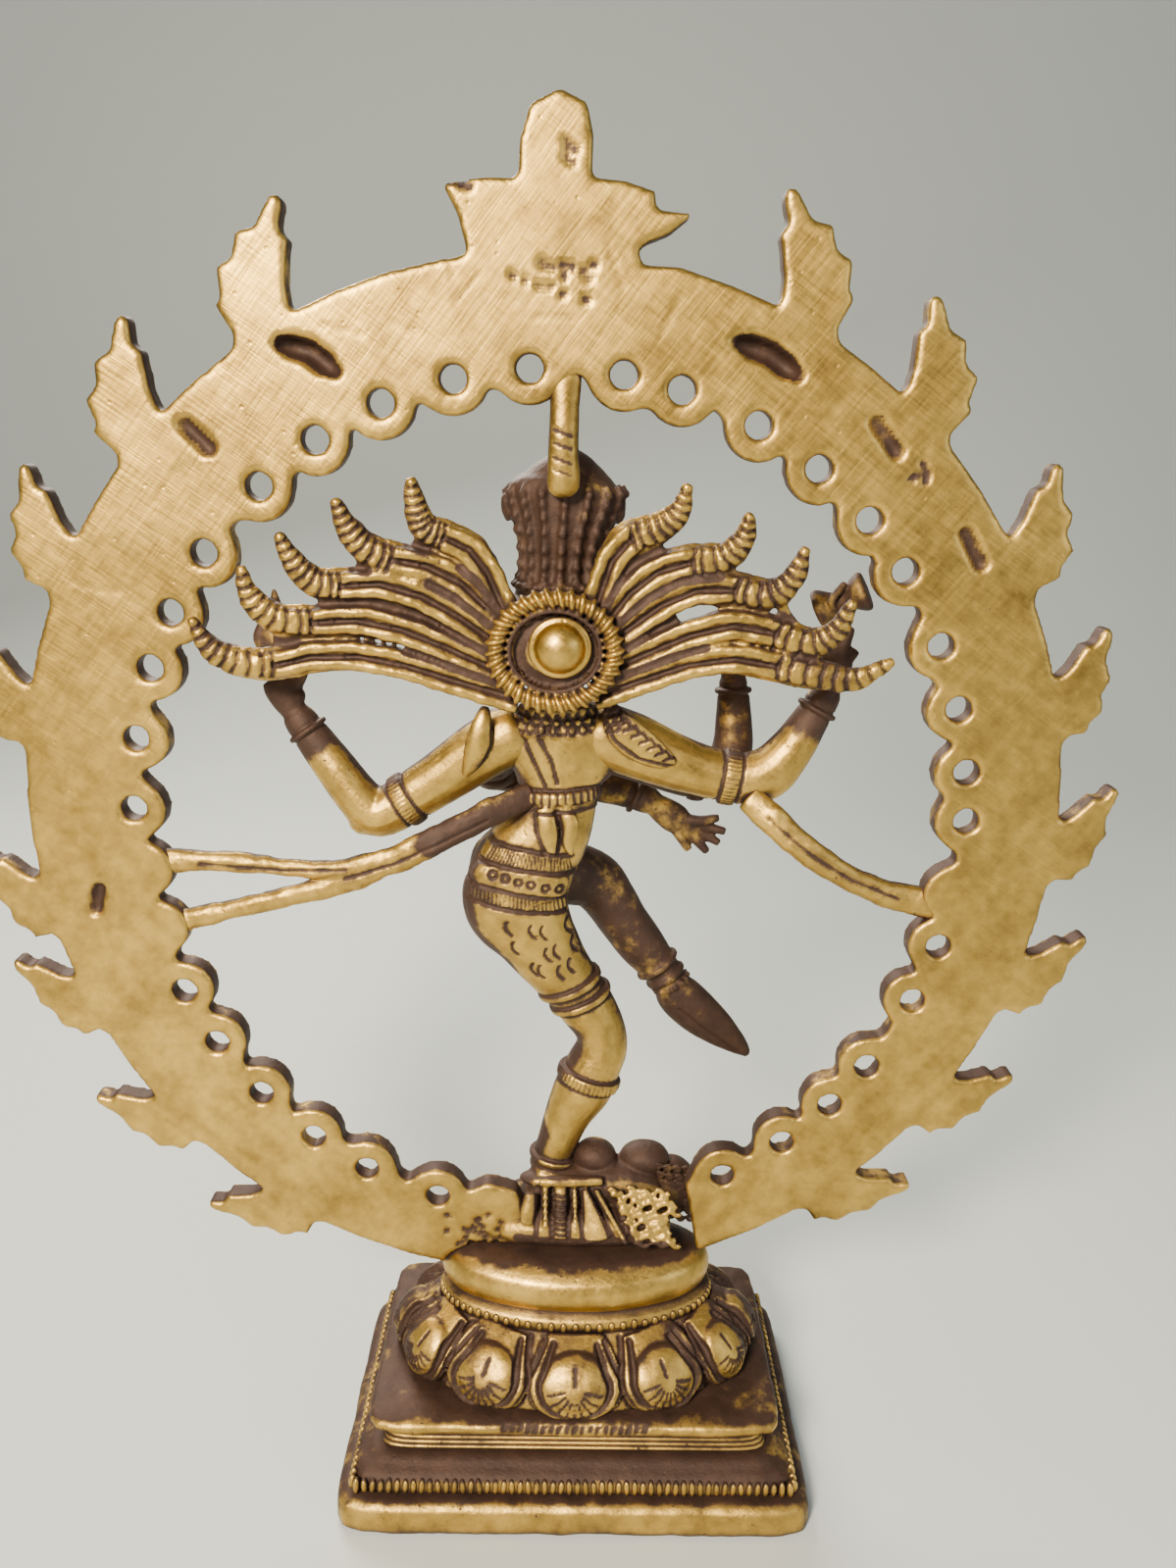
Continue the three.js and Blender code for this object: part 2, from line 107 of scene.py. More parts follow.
camera_data = bpy.data.cameras.new("phone")
camera_data.lens = LENS
camera_data.sensor_width = 36
camera_data.clip_start = 0.001
camera = bpy.data.objects.new("phone", camera_data)
bpy.context.collection.objects.link(camera)
turn = Matrix.Rotation(math.pi - LOOK_ASIDE, 4, "Z")
pitch = Matrix.Rotation(math.pi / 2 - LOOK_DOWN, 4, "X")
roll = Matrix.Rotation(TILT, 4, "Z")
camera.matrix_world = Matrix.Translation(EYE * MM) @ turn @ pitch @ roll
bpy.context.scene.camera = camera
print("camera is", round(EYE.y - PLATE_BACK), "mm behind the ring")

# %% [markdown]
# ## A pale table and soft light
#
# Metal shows what is around it. A soft lamp high on the left gives the ring its bright patch, a
# weak one on the right keeps the far side from going black, and a third lights the front. The pale
# table bends up far beyond the statue, so there is no hard horizon behind it.

# %% Floor, lamps and room
floor_mesh = bpy.data.meshes.new("table")
floor_bm = bmesh.new()
bmesh.ops.create_grid(floor_bm, x_segments=2, y_segments=160, size=4)
BEND_AT, BEND_RADIUS = -0.30, 0.25      # metres
for vert in floor_bm.verts:
    past = BEND_AT - vert.co.y
    if past > 0:
        angle = min(past / BEND_RADIUS, math.pi / 2)
        rest = max(past - BEND_RADIUS * math.pi / 2, 0)
        vert.co.y = BEND_AT - BEND_RADIUS * math.sin(angle)
        vert.co.z = BEND_RADIUS * (1 - math.cos(angle)) + rest
floor_bm.to_mesh(floor_mesh)
floor_bm.free()
floor_mesh.shade_smooth()
floor = bpy.data.objects.new("table", floor_mesh)
bpy.context.collection.objects.link(floor)


def srgb(code):
    """A hex colour as the linear numbers that a shader wants."""
    values = []
    for start in (1, 3, 5):
        part = int(code[start:start + 2], 16) / 255
        values.append(part / 12.92 if part <= 0.04045 else ((part + 0.055) / 1.055) ** 2.4)
    return (*values, 1)


def lamp(name, place, aim, width, watts, colour):
    data = bpy.data.lights.new(name, "AREA")
    data.shape = "DISK"
    data.size = width * MM
    data.energy = watts
    data.color = srgb(colour)[:3]
    source = bpy.data.objects.new(name, data)
    bpy.context.collection.objects.link(source)
    way = (Vector(aim) - Vector(place)).normalized()
    source.matrix_world = Matrix.Translation(
        Vector(place) * MM) @ way.to_track_quat("-Z", "Y").to_matrix().to_4x4()


lamp("key", (150, 330, 300), (0, 0, 90), 110, 3.9, "#fff0d8")
lamp("fill", (-330, 240, 200), (0, 0, 80), 300, 0.5, "#eef3ff")
lamp("front", (140, -280, 330), (0, 0, 80), 200, 2.4, "#fff6ea")

room = bpy.data.worlds.new("room")
bpy.context.scene.world = room
room.use_nodes = True
room.node_tree.nodes["Background"].inputs["Color"].default_value = srgb("#dfe3e2")
room.node_tree.nodes["Background"].inputs["Strength"].default_value = 0.32

# %% [markdown]
# ## Building a material
#
# A shader is a graph of nodes. This one function adds a node, sets its values and joins its
# sockets, so that each finish below reads like a recipe.

# %% One function that adds a node
def add(tree, kind, settings=None, sockets=None):
    """Adds a node. settings are its own values, and sockets are numbers, colours or other nodes."""
    node = tree.nodes.new("ShaderNode" + kind)
    for name, value in (settings or {}).items():
        setattr(node, name, value)
    for name, value in (sockets or {}).items():
        if isinstance(value, bpy.types.Node):
            value = value.outputs[0]
        if isinstance(value, bpy.types.NodeSocket):
            tree.links.new(value, node.inputs[name])
        else:
            node.inputs[name].default_value = value
    return node


def new_material(name):
    material = bpy.data.materials.new(name)
    material.use_nodes = True
    material.node_tree.nodes.clear()
    return material, material.node_tree


# A matt painted table top.
table_finish, tree = new_material("matt_painted_table")
paint = add(tree, "BsdfPrincipled", sockets={"Base Color": srgb("#cfd6d3"), "Roughness": 0.75})
add(tree, "OutputMaterial", sockets={"Surface": paint})
floor_mesh.materials.append(table_finish)
print("table finish:", len(tree.nodes), "nodes")

# %% [markdown]
# ## Brass: gold where the file went and painted gold towards the lamps, brown in the hollows
#
# Cast brass comes out of the mould dark. Filing and years of rubbing bring the gold back on the
# high ground, and polish and soot stay in the hollows. How deep a spot lies, which the Ambient
# Occlusion node measures, says how far it was rubbed. Which way it faces counts too: skin that
# faces the back, which the maker filed and which faces the camera and the key lamp, is painted
# more gold as a highlight, and the sides it leaves brown are painted shade. Soot that a chisel
# left, and painted shade laid by strokes of no depth, are kept by the mesh itself, in an attribute
# with one number a point. A cloud of noise breaks the border between brown and gold, and bump gives
# the file's scratches, the casting's grain and its pits.

# %% The brass finishes
GOLD_LIGHT = srgb("#e0b85c")
GOLD_DEEP = srgb("#93763a")
BROWN = srgb("#271b16")
BROWN_RED = srgb("#563d30")
BLOTCH_MM = 9
MOTTLE_MM = 2.2
SPECKLE_MM = 0.6
SCRATCH_MM = 0.3
PIT_MM = 2.6
SMOOTH = {"interpolation_type": "SMOOTHSTEP"}
PLUS, MINUS, TIMES = {"operation": "ADD"}, {"operation": "SUBTRACT"}, {"operation": "MULTIPLY"}
TIMES_PLUS = {"operation": "MULTIPLY_ADD"}
COLOURS = {"data_type": "RGBA"}


def brass(name, rubbed, back, front, facing_from, facing_to, fine_mm, wide_mm, grain, rough, scratched):
    """rubbed is how much gold shows anywhere in the open. back and front are how much more there
    is on skin that faces those ways. On the back, towards the camera and the key lamp, that gold is a
    painted highlight, and the sides left brown are painted shade. fine_mm and wide_mm are how far a
    file and a thumb reach in."""
    material, tree = new_material(name)
    place = add(tree, "TexCoord").outputs["Object"]

    # How far each spot was rubbed, with a painted highlight on skin facing the back and painted
    # shade on the sides: 0 is dark casting skin, 1 is bare brass.
    blotch = add(tree, "TexNoise", sockets={"Vector": place, "Scale": 1000 / BLOTCH_MM, "Detail": 4})
    mottle = add(tree, "TexNoise",
                 sockets={"Vector": place, "Scale": 1000 / MOTTLE_MM, "Detail": 5, "Roughness": 0.6})
    speckle = add(tree, "TexNoise",
                  sockets={"Vector": place, "Scale": 1000 / SPECKLE_MM, "Detail": 4, "Roughness": 0.7})
    normal = add(tree, "NewGeometry").outputs["Normal"]
    facing = add(tree, "SeparateXYZ", sockets={0: normal}).outputs["Y"]
    # Painted highlight: skin facing the back, towards the camera and the key lamp, is made more gold.
    filed_and_lit_back = add(tree, "MapRange", SMOOTH,
                {"Value": facing, "From Min": facing_from, "From Max": facing_to, "To Min": rubbed,
                 "To Max": rubbed + back})
    front_facing_gold = add(
        tree, "MapRange", SMOOTH, {"Value": facing, "From Min": -0.1, "From Max": -0.75, "To Max": front})
    large = add(tree, "Math", TIMES_PLUS, {0: blotch, 1: 0.9, 2: -0.45})
    medium = add(tree, "Math", TIMES_PLUS, {0: mottle, 1: 0.8, 2: -0.4})
    uneven = add(tree, "Math", PLUS, {0: large, 1: medium})
    both_sides = add(tree, "Math", PLUS, {0: filed_and_lit_back, 1: front_facing_gold})
    wear_and_highlight = add(tree, "Math", PLUS, {0: both_sides, 1: uneven})
    fine_air = add(tree, "AmbientOcclusion", {"samples": 5}, {"Distance": fine_mm * MM}).outputs["AO"]
    wide_air = add(tree, "AmbientOcclusion", {"samples": 5}, {"Distance": wide_mm * MM}).outputs["AO"]
    fine_ground = add(tree, "MapRange", SMOOTH, {"Value": fine_air, "From Min": 0.5, "From Max": 0.92})
    wide_ground = add(tree, "MapRange", SMOOTH, {"Value": wide_air, "From Min": 0.2, "From Max": 0.75})
    high_ground = add(tree, "Math", TIMES, {0: fine_ground, 1: wide_ground})
    reached = add(tree, "Math", TIMES, {0: wear_and_highlight, 1: high_ground})
    soot_and_shade = add(tree, "Attribute", {"attribute_name": "soot_and_shade"}).outputs["Fac"]
    clean = add(tree, "Math", MINUS, {0: reached, 1: soot_and_shade})
    specks = add(
        tree, "MapRange", SMOOTH, {"Value": speckle, "From Min": 0.6, "From Max": 0.72, "To Max": 0.5})
    spotted = add(tree, "Math", MINUS, {0: clean, 1: specks})
    bare_and_lit = add(tree, "MapRange", SMOOTH, {"Value": spotted, "From Min": 0.12, "From Max": 0.5})

    # Colour, shine and metal all follow it.
    tone = add(tree, "MapRange", sockets={"Value": uneven, "From Min": -0.3, "From Max": 0.25})
    gold = add(tree, "Mix", COLOURS, {0: tone, 6: GOLD_DEEP, 7: GOLD_LIGHT}).outputs[2]
    brown = add(tree, "Mix", COLOURS, {0: mottle, 6: BROWN, 7: BROWN_RED}).outputs[2]
    colour = add(tree, "Mix", COLOURS, {0: bare_and_lit, 6: brown, 7: gold}).outputs[2]
    metal = add(tree, "MapRange", sockets={"Value": bare_and_lit, "To Min": 0.45, "To Max": 1.0})

    # The surface: file marks that run two ways, the sandy grain of the mould, and pits.
    marks = []
    for angle, spacing in ((0.6, SCRATCH_MM), (-0.9, SCRATCH_MM * 1.3)):
        turned = add(tree, "Mapping", sockets={"Vector": place, "Rotation": (0, angle, 0)})
        along = add(tree, "Mapping", sockets={"Vector": turned, "Scale": (0.06, 1, 1)})
        marks.append(add(tree, "TexNoise", sockets={"Vector": along, "Scale": 1000 / spacing, "Detail": 3}))
    crossed = add(tree, "Math", PLUS, {0: marks[0], 1: marks[1]})
    filing = add(tree, "Math", TIMES, {0: crossed, 1: scratched})
    rougher = add(tree, "MapRange", sockets={"Value": bare_and_lit, "To Min": grain + 1.2, "To Max": grain})
    sandy = add(tree, "Math", TIMES_PLUS, {0: speckle, 1: rougher, 2: filing})
    cells = add(tree, "TexVoronoi", sockets={"Vector": place, "Scale": 1000 / PIT_MM}).outputs["Distance"]
    pits = add(tree, "MapRange", SMOOTH, {"Value": cells, "From Min": 0.02, "From Max": 0.13})
    height = add(tree, "Math", PLUS, {0: sandy, 1: pits})
    bump = add(tree, "Bump", sockets={"Strength": 0.5, "Distance": 0.07 * MM, "Height": height})
    streaks = add(tree, "Math", TIMES_PLUS, {0: crossed, 1: 0.25, 2: rough - 0.25})
    shine = add(tree, "Mix", {}, {0: bare_and_lit, 2: 0.62, 3: streaks})

    metal_skin = add(tree, "BsdfPrincipled",
                     sockets={"Base Color": colour, "Roughness": shine, "Metallic": metal, "Normal": bump})
    add(tree, "OutputMaterial", sockets={"Surface": metal_skin})
    print("finish:", name, "with", len(tree.nodes), "nodes")
    return material


# In every finish, back and front add gold to skin facing those ways. On the back, towards the camera and
# key lamp, that gold is a painted highlight.
# Filed flat on the back. Skin facing the back is painted gold as a highlight towards the camera and key
# lamp, and the edges are painted dark as shade.
FILED_BACK_LIT = brass("filed_back_lit_brass", rubbed=0.1, back=0.8, front=0.6, facing_from=0.2, facing_to=0.8,
                   fine_mm=0.8, wide_mm=3, grain=0.3, rough=0.42, scratched=1.0)
# Chased with small chisels and rubbed on its high ground.
CHASED = brass("chased_rubbed_brass", rubbed=0.06, back=0.62, front=0.68, facing_from=-0.1, facing_to=0.85,
               fine_mm=1.6, wide_mm=6, grain=1.1, rough=0.42, scratched=0.6)
# The plinth, gold on its edges and its faces, brown where it lies flat.
WORN = brass("worn_plinth_brass", rubbed=0.06, back=0.56, front=0.6, facing_from=-0.1, facing_to=0.8,
             fine_mm=1.5, wide_mm=5, grain=1.0, rough=0.45, scratched=0.8)
# Polished by the hands that lift the statue.
POLISHED = brass("hand_polished_brass", rubbed=0.5, back=0.5, front=0.5, facing_from=-0.2, facing_to=0.6,
                 fine_mm=1.0, wide_mm=3, grain=0.3, rough=0.38, scratched=0.6)
# Out of the file's reach from behind: dark there, and rubbed only on the front.
PATINA = brass("dark_patina_brass", rubbed=-0.04, back=0.14, front=0.8, facing_from=-0.3, facing_to=0.9,
               fine_mm=1.6, wide_mm=6, grain=1.6, rough=0.48, scratched=0.3)

# %% [markdown]
# ## Wax tools
#
# A wax modeller rolls a limb, presses a bead on it, wraps a band round it and cuts a line with a
# blade. Each tool below does one of those jobs with bmesh operators. Rolling is a circle that is
# extruded from station to station along a smooth route.

# %% Rolling a limb
def smooth_route(stations, per=5):
    """Fills in stations along a smooth curve. A station is (point, half width, half depth)."""
    rows = [(*p, a, d) for p, a, d in stations]
    rows = np.array([rows[0], *rows, rows[-1]], dtype=float)
    filled = []
    for i in range(1, len(rows) - 2):
        before, start, end, after = rows[i - 1:i + 3]
        for step in range(per):
            t = step / per
            filled.append(
                0.5 * (2 * start + (end - before) * t + (2 * before - 5 * start + 4 * end - after) * t ** 2
                       + (3 * start - before - 3 * end + after) * t ** 3))
    filled.append(rows[-2])
    return [(Vector(row[:3]), max(row[3], 0.05), max(row[4], 0.05)) for row in filled]


def square_to(along, aside=Vector((0, 1, 0))):
    """A turn whose third axis runs along the limb and whose second leans to the back."""
    along = along.normalized()
    if abs(along.dot(aside)) > 0.95:
        aside = Vector((0, 0, 1))
    across = aside.cross(along).normalized()
    return Matrix((across, along.cross(across), along)).transposed().to_4x4()


def roll_limb(bm, stations, sides, per=5, aside=Vector((0, 1, 0))):
    """A closed limb through the stations, square to its own route."""
    route = smooth_route(stations, per)
    places = []
    for i, (point, across, deep) in enumerate(route):
        along = route[min(i + 1, len(route) - 1)][0] - route[max(i - 1, 0)][0]
        stretch = Matrix.Diagonal((across, deep, 1, 1))
        places.append(Matrix.Translation(point) @ square_to(along, aside) @ stretch)
    made = bmesh.ops.create_circle(bm, segments=sides, radius=1, matrix=places[0])
    ring = made["verts"]
    edges = list({edge for vert in ring for edge in vert.link_edges})
    first_edges = edges
    for before, after in zip(places, places[1:]):
        out = bmesh.ops.extrude_edge_only(bm, edges=edges)["geom"]
        ring = [item for item in out if isinstance(item, bmesh.types.BMVert)]
        edges = [item for item in out if isinstance(item, bmesh.types.BMEdge)
                 and all(vert in ring for vert in item.verts)]
        bmesh.ops.transform(bm, matrix=after @ before.inverted(), verts=ring)
    bmesh.ops.holes_fill(bm, edges=first_edges + edges, sides=0)


def round_ends(stations):
    """Adds a small dome to both ends of a limb."""
    domes = []
    for (end, across, deep), (inner, *_) in ((stations[0], stations[1]), (stations[-1], stations[-2])):
        domes.append((end + (end - inner).normalized() * across * 0.55, across * 0.5, deep * 0.5))
    return [domes[0], *stations, domes[1]]


def roll(bm, node, sides, *rows):
    """A limb from rows of stations by a node."""
    roll_limb(bm, stations(node, *rows), sides)


def roll_rounded(bm, node, sides, *rows):
    roll_limb(bm, round_ends(stations(node, *rows)), sides)


trial = smooth_route([(Vector((0, 0, 0)), 1, 1), (Vector((0, 0, 10)), 2, 2)])
print(
    "a limb between two stations has", len(trial), "rings; its third is", round(trial[2][1], 2), "mm wide")


# %% [markdown]
# Beads, bands and tubes are the other forms: a ball pressed on, a strip wrapped round a limb, and
# a thread laid along a line.

# %% Beads, bands and threads
def bead(bm, point, radius, stretch=(1, 1, 1), turn=Matrix.Identity(4), fine=2):
    matrix = Matrix.Translation(point) @ turn @ Matrix.Diagonal((*stretch, 1))
    bmesh.ops.create_icosphere(bm, subdivisions=fine, radius=radius, matrix=matrix)


def thread(bm, points, radius, sides=8, per=4):
    roll_limb(bm, [(p, radius, radius) for p in points], sides, per)


def oval(middle, across, up, count, start=0, end=math.tau):
    """Points along an oval that faces the back."""
    return [middle + Vector((across * math.cos(a), 0, up * math.sin(a)))
            for a in np.linspace(start, end, count)]


def band(bm, point, along, across, deep, width, proud):
    """A rounded strip wrapped round a limb at one point."""
    along = along.normalized()
    rows = [(-0.5, 0.0), (-0.38, 0.8), (0, 1.0), (0.38, 0.8), (0.5, 0.0)]
    stations = [(point + along * width * t, across + proud * rise, deep + proud * rise) for t, rise in rows]
    roll_limb(bm, stations, 28, per=2)


def beads_round(bm, point, along, across, deep, count, radius):
    """A string of beads round a limb."""
    turned = square_to(along)
    for i in range(count):
        angle = math.tau * i / count
        out = Vector((across * math.cos(angle), deep * math.sin(angle), 0))
        bead(bm, point + turned.to_3x3() @ out, radius, turn=turned @ Matrix.Rotation(angle, 4, "Z"),
             fine=1)


print("an oval 6.9 mm by 6.2 mm starts", round(oval(Vector(), 6.9, 6.2, 37)[0].x, 1), "mm from its middle")


# %% [markdown]
# ## Casting and chasing
#
# Casting joins whatever wax is touching into one skin. A voxel remesh does just that, a light
# smoothing gives the fillets of real metal, and a Displace modifier gives the unevenness of wax
# that was shaped by hand.

# %% Casting
CELL = 0.25     # mm, the fineness of most skins


def cast_wax(bm, voxel=CELL, smoothing=1, wobble=0.1, wobble_size=5.0):
    """One skin round everything in the bmesh, slightly uneven. Gives a mesh in millimetres."""
    bmesh.ops.recalc_face_normals(bm, faces=bm.faces)
    mesh = bpy.data.meshes.new("wax")
    bm.to_mesh(mesh)
    bm.free()
    wax = bpy.data.objects.new("wax", mesh)
    bpy.context.collection.objects.link(wax)
    remesh = wax.modifiers.new("skin", "REMESH")
    remesh.mode = "VOXEL"
    remesh.voxel_size = voxel
    if smoothing:
        soften = wax.modifiers.new("soften", "SMOOTH")
        soften.factor = 0.5
        soften.iterations = smoothing
    if wobble:
        cloud = bpy.data.textures.new("hand", "CLOUDS")
        cloud.noise_scale = wobble_size
        uneven = wax.modifiers.new("uneven", "DISPLACE")
        uneven.texture = cloud
        uneven.texture_coords = "LOCAL"
        uneven.strength = wobble * 2
        uneven.mid_level = 0.5
    graph = bpy.context.evaluated_depsgraph_get()
    skin = bpy.data.meshes.new_from_object(wax.evaluated_get(graph))
    bpy.data.objects.remove(wax)
    bpy.data.meshes.remove(mesh)
    return skin


print("skins are cast with cells of", CELL, "mm")

# %% [markdown]
# Chasing comes after casting: a blunt chisel is pushed along a line, and the metal under it sinks.
# `chisel` moves the skin's points for that, on the side of the piece that faces the tool. Blender
# could do it with a Boolean, but a hundred tiny cuts would be slow, and a chisel doesn't leave
# sharp walls. Soot settles in a cut, and thinly beside it.

# %% Chasing
HAZE = 0.45             # mm of thin soot beside a cut
HAZE_DARKNESS = 0.42
FRONT = (0, -1, 0)      # a tool that comes from the front


def vertex_arrays(mesh):
    places = np.empty(len(mesh.vertices) * 3)
    normals = np.empty(len(mesh.vertices) * 3)
    mesh.vertices.foreach_get("co", places)
    mesh.vertices.foreach_get("normal", normals)
    return places.reshape(-1, 3), normals.reshape(-1, 3)


def add_soot_and_shade(mesh, dark):
    """Keeps the darker of the old soot and painted shade and the new, point by point."""
    layer = mesh.attributes.get("soot_and_shade") or mesh.attributes.new("soot_and_shade", "FLOAT", "POINT")
    old = np.zeros(len(mesh.vertices))
    layer.data.foreach_get("value", old)
    layer.data.foreach_set("value", np.maximum(old, dark))


def chisel(mesh, strokes, width, depth, tool=(0, 1, 0), reach=None, soot_and_shade=0.8):
    """Sinks the skin along lines by a depth, and leaves soot in the cut. The tool looks at the
    piece from one side, and only skin that faces it is cut. A negative depth raises a clean line
    instead, and no depth at all only darkens. Some such strokes lay painted shade, as on the
    trunk, the standing leg and the dwarf. Soot also spreads thinly beside a cut. reach limits how
    far above or below a stroke, along the tool, the cut goes."""
    places, normals = vertex_arrays(mesh)
    way = np.array(Vector(tool).normalized())
    faces_tool = normals @ way > 0.15
    index = np.nonzero(faces_tool)[0]
    flat = places[index] - np.outer(places[index] @ way, way)
    level = places[index] @ way
    sink = np.zeros(len(index))
    haze = np.zeros(len(index))
    for stroke in strokes:
        points = np.array([tuple(p) for p in stroke], dtype=float)
        heights = points @ way
        points = points - np.outer(heights, way)
        for a, b, ha, hb in zip(points, points[1:], heights, heights[1:]):
            run = b - a
            length = max(float(run @ run), 1e-9)
            low = np.minimum(a, b) - width / 2 - HAZE
            high = np.maximum(a, b) + width / 2 + HAZE
            close = np.all((flat > low) & (flat < high), axis=1)
            if not close.any():
                continue
            spots = flat[close]
            t = np.clip((spots - a) @ run / length, 0, 1)
            gap = np.linalg.norm(spots - a - t[:, None] * run, axis=1)
            cut = np.clip(1 - (gap / (width / 2)) ** 2, 0, 1)
            if reach is not None:
                away = np.abs(level[close] - (ha + (hb - ha) * t))
                cut = cut * (away < reach)
            sink[close] = np.maximum(sink[close], cut)
            thin = np.clip(1 - (gap / (width / 2 + HAZE)) ** 2, 0, 1)
            haze[close] = np.maximum(haze[close], thin)
    places[index] -= normals[index] * (sink * depth)[:, None]
    mesh.vertices.foreach_set("co", places.ravel())
    if depth >= 0:
        dark = np.zeros(len(places))
        dark[index] = np.maximum(np.sqrt(sink), HAZE_DARKNESS * haze) * soot_and_shade if depth else sink * soot_and_shade
        add_soot_and_shade(mesh, dark)
    mesh.update()


print("soot spreads", HAZE, "mm beside a cut")

# %% [markdown]
# A blade that is rolled round a limb leaves a groove that closes on itself, as beside an armlet. A
# stroke can't do that, since it has one side, so the groove sinks whatever lies near a plane. Ribs
# on a band are strokes again, closer together at the sides, where the limb turns away.

# %% Grooves round a limb
GROOVE_SOOT = 0.85


def groove_round(mesh, point, along, reach, width, depth):
    """Sinks a groove round a limb at a point. reach is how far from the limb's middle it acts."""
    places, normals = vertex_arrays(mesh)
    along = np.array(along.normalized())
    away = places - np.array(point)
    up = away @ along
    radius = np.linalg.norm(away - np.outer(up, along), axis=1)
    cut = np.clip(1 - (up / (width / 2)) ** 2, 0, 1) * (radius < reach)
    places -= normals * (cut * depth)[:, None]
    mesh.vertices.foreach_set("co", places.ravel())
    haze = np.clip(1 - (up / (width / 2 + HAZE)) ** 2, 0, 1) * (radius < reach)
    add_soot_and_shade(mesh, np.maximum(np.sqrt(cut), HAZE_DARKNESS * haze) * GROOVE_SOOT)


def ribs_across(point, along, across, width, count):
    """Strokes over a band for the chisel, closer together towards the sides of the limb."""
    along = along.normalized()
    aside = square_to(along).col[0].to_3d()
    turns = [math.pi * (i + 0.5) / count for i in range(count)]
    return [[point + aside * across * math.cos(turn) + along * width * end for end in (-0.5, 0.5)]
            for turn in turns]


print("ribs on a band:", len(ribs_across(Vector(), Vector((0, 0, 1)), 5, 1.5, 17)))

# %% [markdown]
# ## Finishing a piece
#
# A finished piece is made metres, given its finish, and tied to the frame: it rides on the
# statue's one body, and it takes the place of its CAD nodes.

# %% Finishing
triangle_total = 0


def finish_piece(name, mesh, material, *nodes):
    global triangle_total
    mesh.name = name
    mesh.transform(Matrix.Scale(MM, 4))
    mesh.materials.clear()
    mesh.materials.append(material)
    mesh.shade_smooth()
    piece = bpy.data.objects.new(name, mesh)
    bpy.context.collection.objects.link(piece)
    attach(piece, "root")
    if nodes:
        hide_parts(*nodes)
    triangles = sum(len(face.vertices) - 2 for face in mesh.polygons)
    triangle_total += triangles
    print(f"{name}: {triangles} triangles")
    return piece


def mesh_of(bm):
    """A mesh from wax that is already clean, with its faces pointing out."""
    bmesh.ops.recalc_face_normals(bm, faces=bm.faces)
    mesh = bpy.data.meshes.new("part")
    bm.to_mesh(mesh)
    bm.free()
    return mesh


# %% [markdown]
# ## The ring of flames
#
# The ring is one flat plate. Its outline, flames, scallops and drilled holes are already exact in
# the frame, so the finished plate starts as a copy of that mesh. Casting it again rounds its
# edges. Flowing brass left a few lens-shaped hollows in its back, and the file's marks run over it.
# The front was chased: two grooves follow the ring, with a row of studs between them.

# %% Ring plate
RING_MIDDLE = near("aureole_ring", 0, 0, -8.5)
RING_ACROSS, RING_UP = 63.8, 66


def on_ring(angle, inward, back):
    """A point of the plate. The angle is in degrees from the top, towards the dancer's left."""
    turned = math.radians(angle)
    return RING_MIDDLE + Vector(
        (math.sin(turned) * (RING_ACROSS - inward), back, math.cos(turned) * (RING_UP - inward)))


def copy_of(node):
    """A CAD node's mesh in millimetres, as a bmesh with its points merged."""
    bm = bmesh.new()
    bm.from_mesh(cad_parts[node].data)
    bmesh.ops.transform(bm, matrix=Matrix.Scale(1 / MM, 4), verts=bm.verts)
    bmesh.ops.remove_doubles(bm, verts=bm.verts, dist=0.01)
    return bm


ring = cast_wax(copy_of("aureole_ring"), 0.42, smoothing=2, wobble=0.07, wobble_size=9)
recesses = [points("aureole_ring", (25.1, 1, 45.5), (26.6, 1, 46.6), (28.2, 1, 47)),
            points("aureole_ring", (-22.6, 1, 47.9), (-24.5, 1, 47.3), (-26.2, 1, 46.1))]
chisel(ring, recesses, 3.2, 1.5)
tapers = [
    [first * 1.9 - middle * 0.9, middle, last * 1.9 - middle * 0.9] for first, middle, last in recesses]
chisel(ring, tapers, 1.8, 1.0)
chisel(ring,
       [points("aureole_ring", (38.4, 1, 36.1), (40.8, 1, 38.5)),
        points("aureole_ring", (-37, 1, 40.1), (-39.4, 1, 37.1)),
        points("aureole_ring", (-48.4, 1, 28.1), (-50.4, 1, 24.7)),
        points("aureole_ring", (56.2, 1, -17.7), (56.8, 1, -20.3))], 2.2, 1.1)
random.seed(11)
pits = []
# Patches of pits: aside, up, how wide the patch is, and how many.
for aside, up, spread, count in ((-1.8, 54.7, 3.4, 16), (7.6, -69.3, 4.6, 46), (9.7, 64.2, 1.6, 9),
                                 (-2.2, 66.7, 0.9, 5), (-41.8, 34.7, 1.5, 6)):
    for _ in range(count):
        spot = near("aureole_ring", aside, 1, up)
        spot += Vector((random.gauss(0, spread / 2), 0, random.gauss(0, spread / 2)))
        pits.append([spot, spot + Vector((random.uniform(-0.4, 0.4), 0, random.uniform(-0.4, 0.4)))])
chisel(ring, pits, 1.0, 0.5)
scratches = []
for _ in range(34):
    spot = on_ring(random.uniform(-165, 165), random.uniform(1, 9), 1)
    lean = random.uniform(0, math.tau)
    scratches.append([spot, spot + Vector((math.cos(lean), 0, math.sin(lean))) * random.uniform(2, 7)])
chisel(ring, scratches, 0.5, 0.07, soot_and_shade=0.3)

# The front has a groove along each edge, and a row of studs between them.
rails = [[on_ring(a, inward, -1) for a in range(-162, 163, 3)] for inward in (1.6, 9.4)]
chisel(ring, rails, 0.9, 0.45, tool=FRONT)
studs = [[on_ring(a, 5.5, -1), on_ring(a + 0.6, 5.5, -1)] for a in np.arange(-160, 161, 2.6)]
chisel(ring, studs, 2.2, -0.35, tool=FRONT)
finish_piece("ring_of_flames", ring, FILED_BACK_LIT, "aureole_ring")

